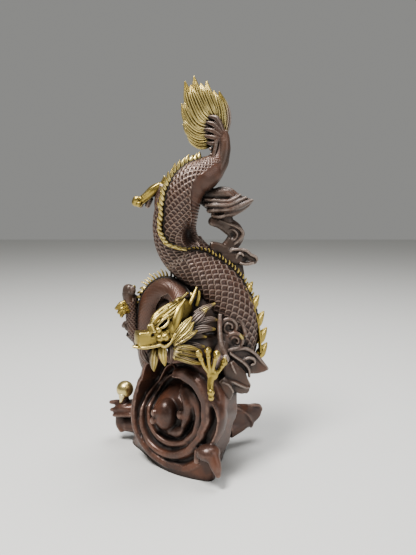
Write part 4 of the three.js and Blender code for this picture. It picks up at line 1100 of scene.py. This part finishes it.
# ---- Clouds ----------------------------------------------------------------------------------------
def make_shoulder_clouds():
    facing = [0.2, -1, 0.1]
    forms = [
        limb([[8, -12, 76, 4], [16.4, -9, 72.2, 6.4, 4.2], [24.4, -6, 67.8, 7.4, 3.6],
              [31, -4.4, 64.6, 5.2, 2.8], [35.2, -3.6, 63, 2.6, 2.2], [37, -3, 62.4, 1.2]],
             up=facing, sides=48, power=2.4),
        limb([[12.6, -14, 76.6, 1.2, 1.4], [18.6, -11.4, 77.4, 1.3, 1.6], [23.6, -9.4, 76.8, 1.3, 1.6],
              [28.8, -7.6, 73.2, 1.3, 1.5], [33.2, -6, 68, 1.2, 1.3], [36.8, -4.4, 63.4, 0.9, 1]],
             up=facing),
        limb([[12.8, -15.6, 75.9, 1.2, 1.3], [16.8, -14.4, 72.8, 1.4, 1.6], [21.6, -13, 69.1, 1.4, 1.6],
              [24.6, -11.4, 65, 1.2, 1.4], [25.4, -10, 59.6, 0.9, 1]], up=facing, power=1.5),
        limb([[21, -11.4, 69.6, 0.9, 1.1], [24.2, -11, 71.6, 1, 1.2], [27.8, -9.8, 70.6, 1, 1.2],
              [28.6, -9.4, 68, 0.9, 1.1], [26.4, -10.2, 67, 0.7, 0.9]], up=facing),
        # The folded fan below, with its two sharp ridges.
        limb([[11, -16.6, 70.4, 3], [14, -15.8, 64.6, 6, 3.6], [17.6, -14, 58.4, 7, 3.4],
              [21.4, -12.4, 53.4, 4.6, 2.8], [23.6, -11.6, 51.4, 2.2, 2]],
             up=facing, sides=48, power=2.6),
        *limbs([
            [[13.4, -18, 71, 1.4, 1.6], [15.2, -18.4, 66.8, 1.5, 1.8], [17.4, -17, 62, 0.8, 1]],
            [[9.2, -20.4, 61, 1.3, 1.6], [15.4, -18.8, 58.8, 1.5, 1.9], [21.8, -15.2, 54.8, 1.4, 1.7],
             [25.2, -12.2, 53.4, 0.9, 1.1]],
        ], up=facing, power=1.4),
        limb([[14.4, -17, 71.2, 1, 1.2], [19.4, -15.6, 65.4, 1.1, 1.3], [22.8, -14, 60.2, 1, 1.2],
              [25.6, -12, 54.6, 0.9, 1]], up=facing, power=1.6),
        limb([[7.6, -20.6, 61.6, 2.8, 2.6], [10.4, -20.6, 57, 3.9, 3], [11.8, -20, 52.8, 3.6, 2.8],
              [12, -19.6, 49.8, 2.2, 2]], up=facing, power=2.6),
        limb([[8.4, -23, 60.4, 0.8, 1], [12.2, -22.8, 58.4, 0.9, 1.1], [14.8, -21.6, 54, 0.9, 1]],
             up=facing),
        # The volutes above, with the cloud's neck at their left.
        *pebbles([12.2, -4.6, 90.6, 7.2, 5.6, 6.2], [16, -5.4, 82, 6.8, 5.6, 6.4]),
        curl([12.9, -9.8, 90.6], 5.5, 1.5, 2.9, share=0.27, power=1.8, hand=-1),
        curl([16.6, -10.6, 82], 5.3, 1.6, 2.7, share=0.27, power=1.8, hand=-1),
        limb([[7.4, -11, 99, 1.2, 1.4], [7, -13.4, 93, 1.5, 1.7], [7.2, -17, 87, 1.6, 1.7],
              [8, -20, 81.5, 1.8], [10.2, -21.6, 76, 1.8]]),
        *limbs([
            [[7.4, -7, 99, 1.4, 1.6], [14.6, -7.4, 97.4, 1.8], [20.6, -8, 92.4, 1.6], [23, -8.6, 85, 1.4]],
            [[8.6, -15.6, 76.4, 1.4], [14, -14, 77.6, 1.2], [19.6, -11.4, 78.6, 0.8]],
        ], up=FRONT),
        pebble([9, -6, 80], [7, 8, 9]),
    ]

    def gilding(points):
        rim = np.linalg.norm(points - [21, -11.6, 85.4], axis=1)
        return 1 - smooth_share(rim, 1.2, 2.4)

    fused_piece("shoulder_clouds", forms, part_gilt, "dark_patina", grain=0.41, softening=1, gilt=gilding,
                passes=10, full=0.22)


# Rolls of the layered upper cloud, from the top down: [x, y, z, half width, half thickness].
UPPER_ROLLS = [
    [[-1, 0.6, 170.8, 3, 3], [5, -0.6, 171, 3.4, 3.2], [10.6, -0.8, 171, 3, 2.8],
     [14.6, 0, 169.6, 1.6, 1.8]],
    [[-1.8, -1.6, 167.8, 1.3, 1.8], [5, -2.8, 166.9, 1.4, 2], [11.5, -2.8, 166.4, 1.4, 1.9],
     [16.2, -0.6, 168, 1.4, 1.9], [19.4, 3, 170, 1, 1.4]],
    [[-1.2, -1.6, 164.4, 1.5, 1.8], [5, -3.2, 164.2, 1.5, 2], [11.5, -3.2, 164.3, 1.5, 2],
     [17.8, -0.6, 166.2, 1.6, 2.2], [23, 3.4, 168.4, 1.2, 1.4]],
    [[0.6, -0.6, 160.9, 1.8, 1.9], [5, -2.2, 161.2, 1.7, 2], [12.8, -2.6, 161.8, 1.7, 2],
     [20.2, 0, 164, 2, 2.4], [27, 4.4, 167, 1, 1]],
    [[3, 0.4, 158, 1.5, 1.6], [7.3, -1, 157.2, 1.5, 1.8], [10.7, -1.4, 158.2, 1.4, 1.8],
     [16.3, 0.8, 160, 2.4, 2.6], [24.4, 4, 163.8, 1.2, 1.2]],
]


def make_upper_cloud():
    forms = [limb([[-3, 3, 169.6, 5], [3, 4, 167.4, 7.4, 4.6], [9, 4, 166.6, 9, 4.4],
                   [14.6, 4, 165.2, 8.4, 4], [20, 4.6, 165, 5.6, 3.2], [24.4, 5, 166, 3, 2.2],
                   [27.6, 5, 166.8, 0.7]], up=FRONT)]
    forms += limbs(UPPER_ROLLS, up=FRONT, round_root=True, power=1.8)
    forms.append(limb([[2.4, 4, 154.2, 2.9, 2.6], [7, 5, 153.2, 3.7, 3.2], [12, 5.6, 151.4, 5, 3.4],
                       [16.2, 6, 148.4, 5.2, 3.2], [17.4, 6, 144.4, 5, 3.2], [15, 6, 140.4, 4.8, 3.4],
                       [12, 6, 136, 5, 3.8], [11, 6, 130, 6, 4.4]], up=FRONT, round_root=True, power=3.2))
    forms += [
        *limbs([
            [[7, 2.6, 155, 1, 1.2], [12.6, 2.6, 152.8, 1.2, 1.4], [17, 2.8, 151.2, 1.3, 1.5],
             [20.4, 2.8, 148.8, 1.3, 1.5], [21.4, 2.8, 146, 1.3, 1.5], [19.6, 2.8, 143, 1.2, 1.4],
             [16.6, 3, 140.2, 0.9, 1.1]],
            [[12.2, 3.4, 149, 0.8, 1], [15.6, 3, 149, 0.9, 1.2], [18, 3, 146.4, 0.9, 1.2],
             [16.8, 3.2, 143.4, 0.9, 1.2], [14, 3.8, 142.4, 0.8, 1]],
            [[11, 4.6, 158, 3.6], [12, 5, 152, 4.6, 3.4]],
        ], up=FRONT),
        limb([[12, 5, 135.6, 3.4, 3.2], [6, 4.4, 137.8, 3.4, 3], [1.4, 4, 138.9, 3, 2.6]],
             up=FRONT, power=4, rounding=0.2),
        limb([[3, 3, 138, 2.4, 2], [3.4, 4.6, 131, 4]], up=FRONT),
        limb([[9, 6, 131, 5.4, 5], [15.4, 6, 131.6, 5, 4.4], [21.3, 6, 131.8, 5, 3.8],
              [26, 6, 130.6, 3.9, 3.2], [29, 6, 129.6, 2.6, 2.4]], up=FRONT, power=2.8),
        *limbs([
            [[12.6, 3, 134.6, 1, 1.2], [15.2, 2.4, 136.6, 1.1, 1.3], [19.3, 2, 136.9, 1.1, 1.4],
             [23.7, 2, 136, 1.1, 1.4], [26.6, 2.4, 133.6, 1, 1.2], [29.6, 3, 132.2, 1, 1.1],
             [30.6, 3.6, 130, 0.8, 0.9]],
            [[17.4, 2.2, 131.4, 0.9, 1], [18.6, 1.8, 133.8, 1, 1.2], [20.8, 1.8, 134.4, 1, 1.2],
             [22, 2, 132.8, 0.8, 1]],
            [[19.6, 2.4, 128.4, 0.9, 1], [24, 2.2, 127.8, 1.1, 1.3], [28, 2.8, 128.4, 1, 1.2]],
            [[14, 7, 130, 7, 4], [17.6, 7, 121, 5.4, 4], [20, 7, 111, 3.4]],
        ], up=FRONT),
    ]
    fused_piece("upper_cloud", forms, patina, "dark_patina", grain=0.42, softening=1,
                dents=[([23.4, 2.4, 130.8], [2.2, 3, 1.5], 1.4),
                       ([14.8, 2.6, 145.6], [1.4, 3, 1.6], 1.2)],
                passes=10, full=0.22)


# ---- The breaking wave -----------------------------------------------------------------------------
# Ridges of the curled face: [turn from the top in degrees, reach, half width, height].
CURL_MIDDLE = (-3, -3)
PLATE_DEPTH = 25
GROOVE_DEPTH = 3.1
BOSS = [[0, 9, 3, -9], [90, 11, 3, -8], [180, 11, 3, -7], [270, 12, 3, -7]]
MOAT = [[20, 15, 0, -13], [80, 15, 0, -11], [200, 14, 0, -11], [270, 15, 0, -12], [310, 19, 0, -19],
        [345, 20, 0, -21]]
INNER_BAND = [
    [14, 20, 1, -18], [24, 20.6, 2.6, -4], [36, 23.6, 3.6, -3], [52, 25, 3.6, -2.4], [73, 24, 3, -2.4],
    [98, 22, 2.6, -2.6], [128, 19, 2.4, -3], [163, 17.1, 2.3, -3.4], [201, 16.7, 2.2, -3.6],
    [239, 16.8, 2, -4], [277, 17.5, 1.6, -6], [300, 20, 1, -14], [335, 24, 1, -19],
]
OUTER_BAND = [
    [0, 27.4, 1, -12], [9, 29, 3, -1.4], [25, 32.6, 4.8, 0], [42, 34.4, 4.8, 0.6], [58, 34, 4.6, 0.6],
    [77, 31.2, 4.2, 0.6], [98, 27.7, 3.6, 0.4], [122, 24.7, 3, 0], [152, 23.4, 2.8, -0.4],
    [182, 23.2, 2.6, -1], [210, 23.2, 2.4, -1.4], [238, 22.4, 2, -2], [267, 21.2, 1.5, -3],
    [292, 22.4, 1, -8], [316, 24.4, 1, -15], [345, 31, 1, -16],
]
RIM = [
    [0, 36, 3, -3], [25, 39.6, 2.6, -5], [42, 40.8, 2.6, -5], [58, 39.8, 2.6, -5], [77, 36.6, 2.6, -5],
    [98, 32.6, 2.4, -3], [126, 33.6, 3, -1.4], [145, 32.6, 3, -1], [168, 29.6, 3, -1],
    [198, 28.3, 2.8, -1], [222, 27.5, 2.6, -1], [244, 27.6, 2.5, -1], [262, 26.8, 2.3, -1],
    [279, 26.4, 2.2, -1], [297, 27.2, 2.2, -1], [316, 29.6, 2.2, -1], [336, 36.6, 2.2, -1],
    [348, 38, 2.4, -2],
]
WAVE_FOOT = [
    [-42, 9], [-31, -9], [-20, -19], [-7, -25.6], [2.6, -26.6], [6, -14], [10, 6], [12, 22], [6, 38],
    [-16, 42], [-41, 41], [-53, 29],
]
WAVE_GIRTH = [
    [-44.4, 6], [-33, -7], [-20, -17], [-6, -26.6], [3.4, -29], [7, -15], [11, 5], [14, 24], [8, 42],
    [-16, 46], [-42, 44], [-49, 31],
]
WAVE_MIDDLE = np.array([-18, 10])
WAVE_LEVELS = [
    [-3, 0, 1], [0, 0, 1], [8, 0.5, 1], [20, 1, 1], [40, 1, 0.97], [54, 1, 0.86], [62, 1, 0.66],
    [66, 1, 0.36],
]


def around_loop(points, count):
    """Evenly shared points of the smooth closed curve through the points."""
    points = np.array(points, float)
    wrapped = np.vstack([points[-3:], points, points[:4]])
    spans = len(wrapped) - 1
    shares = (3 + np.arange(count) / count * len(points)) / spans
    return through(wrapped, shares)


def wave_core():
    foot, girth = around_loop(WAVE_FOOT, 120), around_loop(WAVE_GIRTH, 120)
    levels = through(WAVE_LEVELS, np.linspace(0, 1, 60))
    rings = []
    for height, toward_girth, kept in levels:
        plan = foot + (girth - foot) * np.clip(toward_girth, 0, 1)
        plan = WAVE_MIDDLE + (plan - WAVE_MIDDLE) * kept
        rings.append(np.column_stack([plan, np.full(len(plan), height)]))
    return skin(rings, rings[0].mean(0), [*WAVE_MIDDLE, 67])


def ridge_at(ridge, turns):
    """A ridge's reach, half width and height at each turn, wrapped round the full circle."""
    ridge = np.array(ridge, float)
    wrapped = np.vstack([ridge[-1:] - [360, 0, 0, 0], ridge, ridge[:1] + [360, 0, 0, 0]])
    after = np.clip(np.searchsorted(wrapped[:, 0], turns, side="right"), 1, len(wrapped) - 1)
    low, high = wrapped[after - 1], wrapped[after]
    share = smooth_share(turns, low[:, 0], high[:, 0])
    return low[:, 1:] + (high[:, 1:] - low[:, 1:]) * share[:, None]


def on_curl(turns, reach, out):
    """Points on the curled face, given as a turn from its top, a reach from its middle and a height."""
    angle = np.radians(turns)
    right = CURL_MIDDLE[0] + reach * np.sin(angle)
    upward = CURL_MIDDLE[1] + reach * np.cos(angle)
    return FACE_CENTRE + np.outer(right, FACE_RIGHT) + np.outer(upward, FACE_UP) + np.outer(out, FACE_OUT)


TURNS = np.arange(240) * 1.5  # the degrees round the curl at which its relief is set


def wave_face():
    """The relief of the curled face on its plate: boss, moat, two bands and a fluted rim."""
    ridges = (BOSS, MOAT, INNER_BAND, OUTER_BAND, RIM)
    boss, moat, inner, outer, rim = [ridge_at(ridge, TURNS) for ridge in ridges]

    def groove(a, b, deep):
        return (a[:, 0] + a[:, 1] + b[:, 0] - b[:, 1]) / 2, np.minimum(a[:, 2], b[:, 2]) - deep

    section = [
        (boss[:, 0] * 0.4, boss[:, 2] + 0.6), (boss[:, 0] + 0.6 * boss[:, 1], boss[:, 2]),
        (np.minimum(moat[:, 0], inner[:, 0] - inner[:, 1]), moat[:, 2]),
    ]
    for ridge, following in ((inner, outer), (outer, rim)):
        section += [
            (ridge[:, 0] - 0.8 * ridge[:, 1], ridge[:, 2] - 0.7),
            (ridge[:, 0] - 0.3 * ridge[:, 1], ridge[:, 2] + 0.3),
            (ridge[:, 0] + 0.55 * ridge[:, 1], ridge[:, 2] - 0.1),
            groove(ridge, following, GROOVE_DEPTH),
        ]
    for across, drop in FLUTES:
        section.append((rim[:, 0] + across * rim[:, 1], rim[:, 2] - drop))
    section = np.array(section)
    fine = np.linspace(0, 1, 110)
    rings = np.stack([through(section[:, :, i], fine) for i in range(len(TURNS))], 1)
    placed = [on_curl(TURNS, ring[:, 0], ring[:, 1]) for ring in rings]
    edge = section[-1, 0]
    placed += [on_curl(TURNS, edge - 0.6 * k, np.full(len(TURNS), -PLATE_DEPTH * k)) for k in (0.5, 1)]
    middle = on_curl(np.zeros(1), np.zeros(1), np.array([BOSS[0][3] + 1.0]))[0]
    behind = on_curl(np.zeros(1), np.zeros(1), np.array([-PLATE_DEPTH]))[0]
    return skin(placed, middle, behind)


def wave_face_seat():
    """The seat in the wave that the plate of the curled face is set into."""
    rim = ridge_at(RIM, TURNS)
    edge = rim[:, 0] + rim[:, 1]
    floor = 1.5 - PLATE_DEPTH
    rings = [on_curl(TURNS, edge - 1.0, np.full(len(TURNS), 16.0)),
             on_curl(TURNS, edge - 1.4, np.full(len(TURNS), floor))]
    ends = [on_curl(np.zeros(1), np.zeros(1), np.array([out]))[0] for out in (16.0, floor)]
    return skin(rings, *ends)


# Fine flutes across the rim: [across the rim in half widths, drop].
FLUTES = [[-0.75, 1.5], [-0.5, 0.0], [-0.25, 1.1], [0.0, 0.0], [0.28, 1.2], [0.55, 0.1], [1.0, 4.0]]


def make_wave():
    forms = [cut_form(wave_core(), wave_face_seat()), wave_face()]
    forms += [
        # The tongue of water inside the outer scroll, the boss with its beads, and the knob.
        face_band([[6, 17, -9, 1.6, 3.6], [9.6, 13.4, -6, 3.4, 4.4], [12, 8, -5.4, 3.8, 4.8],
                   [11.4, 1, -6, 3.2, 4.4], [8, -6, -7.4, 2.2, 3.4]], power=2.2, round_root=True),
        face_band([[7.4, -7.6, -8, 1.6, 2.4], [3.6, -11.6, -7, 3.6, 3.4], [-2.6, -13, -7.4, 2.4, 3]]),
        pebble(on_face(-5.6, -2.4, -6), [7.6, 7.6, 10]),
        pebble(on_face(-10.4, -0.8, 0.6), [2.1, 2.1, 2.5]),
        pebble(on_face(-11.4, -6, 0), [2.1, 2.1, 2.6]),
        pebble(on_face(7.2, 1, -3), [2.6, 2.6, 3.2]),
        # The front drop: a cap over two feet.
        pebble(on_face(30.4, -16.0, 0.4), [7.2, 6.2, 5.0]),
        face_band([[24, -16, 0.6, 2.6, 3.4], [23.4, -22.4, 1.8, 1.8, 2]]),
        face_band([[33, -16, 0.6, 4], [36.4, -23, 0.8, 3.4, 3.2], [38, -27.6, 0.8, 1.8]]),
        face_band([[27.6, 17, -5, 1.8, 4.6], [33.6, 9, -6, 1.8, 5.6], [35, 2, -6, 1.7, 5.6],
                   [34, -5, -5, 1.6, 5], [31, -11.6, -4, 1.5, 4]], power=1.6),
    ]
    # Strands of water that run down the wave's right side.
    forms += limbs([
        [[-2, -11, 57, 4], [5.6, -17, 36.1, 3], [4, -20.6, 22.9, 2.4], [2.4, -27, 16, 2.2]],
        [[2, 0, 54, 4], [12, -1, 31.5, 3], [10, -4, 15.7, 2.4], [5, -13, 5, 2.2]],
        [[0, -7, 55, 3.6], [9, -9.4, 33, 2.4], [7, -12.4, 19, 1.8], [3.6, -20, 9, 1.4]],
        [[3, 6, 50, 3.4], [13.4, 6, 28, 2.6], [12, 3, 12, 2.2]],
    ], power=1.7)
    forms += [
        # The cupped crest at the right: a blunt lobe behind, and a sharp ridge before it.
        limb([[8, 22, 20, 9, 7], [19, 24, 20.4, 8.6, 5], [26.6, 28, 19.6, 8, 4],
              [32.4, 31, 20.8, 5.8, 3.4], [35.6, 32.4, 22.8, 3, 2.8]], up=FRONT, power=2.4, sides=40),
        limb([[12, 16, 33, 2.6], [21, 21.4, 26.9, 1.8, 2.2], [26.8, 24.4, 21.7, 1.8, 2.4],
              [30.4, 27.4, 14.4, 1.5, 2], [30, 28.6, 10.6, 1, 1.4]], up=FRONT, power=1.5),
        *limbs([
            [[14, 20, 12, 6, 5], [24, 25, 14, 4.4, 3.4], [29, 28, 13, 2]],
            [[26.6, 26.4, 26.2, 0.9, 1.2], [31, 27.6, 26.8, 1.3, 1.5], [35.6, 30, 25.6, 1.2, 1.4],
             [37, 31.4, 22.4, 0.9, 1]],
        ], up=FRONT),
        curl([-22, 44.6, 23], 14, 1.7, 1.2, axis=[0, 1, 0], share=0.17),
        pebble([-22, 43.6, 23], [5, 5, 5]),
        # The foam that carries the pearl, with three fingers, and the tongue hanging under it.
        limb([[-58.6, 31, 25, 4.4], [-57.6, 30.4, 33, 2.6]]),
        limb([[-46, 32, 24, 8, 5.4], [-56, 32, 24.6, 8, 3.6], [-62, 33, 24.6, 6, 2.8]], power=2.4),
        *limbs([
            [[-56, 31, 26.2, 3, 2.2], [-63, 33, 26.8, 2.4, 2], [-68.4, 34, 26.6, 1.5, 1.4]],
            [[-56, 27, 23.4, 3, 2.2], [-62.6, 29, 23.2, 2.4, 2], [-67.4, 31, 22.2, 1.5, 1.4]],
            [[-52, 25, 21.4, 3, 2.2], [-59.6, 26.4, 20.6, 2.4, 2], [-65.2, 28, 19.4, 1.5, 1.4]],
        ]),
        limb([[-46, 33, 13, 9, 10], [-56, 33, 12, 6.6, 6.4]], round_root=True),
        limb([[-60.6, 32, 16.4, 4.4, 3.4], [-60.8, 31.4, 11, 4, 3.2], [-60.6, 31, 7.6, 2.4, 2.2]],
             up=FRONT, round_root=True),
    ]
    fused_piece("wave_base", forms, wave_patina, "dark_patina", grain=0.75, softening=3,
                passes=7, full=0.4)
    pearl = [pebble([-57.5, 30, 37.4], [5.9, 5.9, 5.9], 64),
             limb([[-58.6, 27.6, 35, 3.4], [-59.6, 27.4, 30.6, 1.6], [-60.4, 28, 28.6, 0.8]])]
    grid_piece("pearl", pearl, polished_gold, "bright_gold", passes=6, full=0.4)


make_body()
make_plume()
make_head()
make_ear_and_antlers()
make_mane()
make_paws()
make_shoulder_clouds()
make_upper_cloud()
make_wave()
# The shelter marks set where every piece gets painted shade.
mark_shelter(PIECES)

# ---- Floor, lights and camera ----------------------------------------------------------------------
floor_mesh = bpy.data.meshes.new("studio_floor")
floor_mesh.from_pydata([(-2, -2, 0), (2, -2, 0), (2, 2, 0), (-2, 2, 0)], [], [(0, 1, 2, 3)])
floor = add_object("studio_floor", floor_mesh)
floor_paint = bpy.data.materials.new("pale_floor")
floor_paint.use_nodes = True
floor_look = floor_paint.node_tree.nodes["Principled BSDF"].inputs
floor_look["Base Color"].default_value = rgba(0.62, 0.62, 0.60)
floor_look["Roughness"].default_value = 0.8
floor_mesh.materials.append(floor_paint)


def add_light(name, location, target, size, power, colour=(1, 1, 1)):
    """A round soft light at a place, facing its target. Lengths are in metres and power in watts."""
    lamp = bpy.data.lights.new(name, "AREA")
    lamp.shape = "DISK"
    lamp.size = size
    lamp.energy = power
    lamp.color = colour
    light = add_object(name, lamp)
    light.location = location
    toward = np.array(target) - np.array(location)
    light.rotation_euler = Vector(toward).to_track_quat("-Z", "Y").to_euler()


add_light("key_softbox", (-0.22, -0.30, 0.85), (0, 0, 0.12), 0.26, 15.0, (1.0, 0.98, 0.95))
add_light("top_softbox", (0.15, 0.1, 0.9), (0, 0, 0.1), 0.45, 8.0)
add_light("side_fill", (0.7, -0.5, 0.35), (0, 0, 0.1), 0.6, 2.2, (0.95, 0.97, 1.0))

world = bpy.data.worlds.new("studio_air")
bpy.context.scene.world = world
world.use_nodes = True
air_look = world.node_tree.nodes["Background"].inputs
air_look["Color"].default_value = rgba(0.60, 0.60, 0.58)
air_look["Strength"].default_value = 0.45

CAMERA_SPOT = np.array([0, -340, 167.5])
CAMERA_PITCH = math.radians(82)  # 90 degrees would look level
camera_data = bpy.data.cameras.new("camera")
camera_data.lens = 36
camera_data.sensor_width = 36
camera = add_object("camera", camera_data)
camera.location = CAMERA_SPOT * MM + SHIFT
camera.rotation_euler = (CAMERA_PITCH, 0, 0)
bpy.context.scene.camera = camera

bpy.context.view_layer.update()
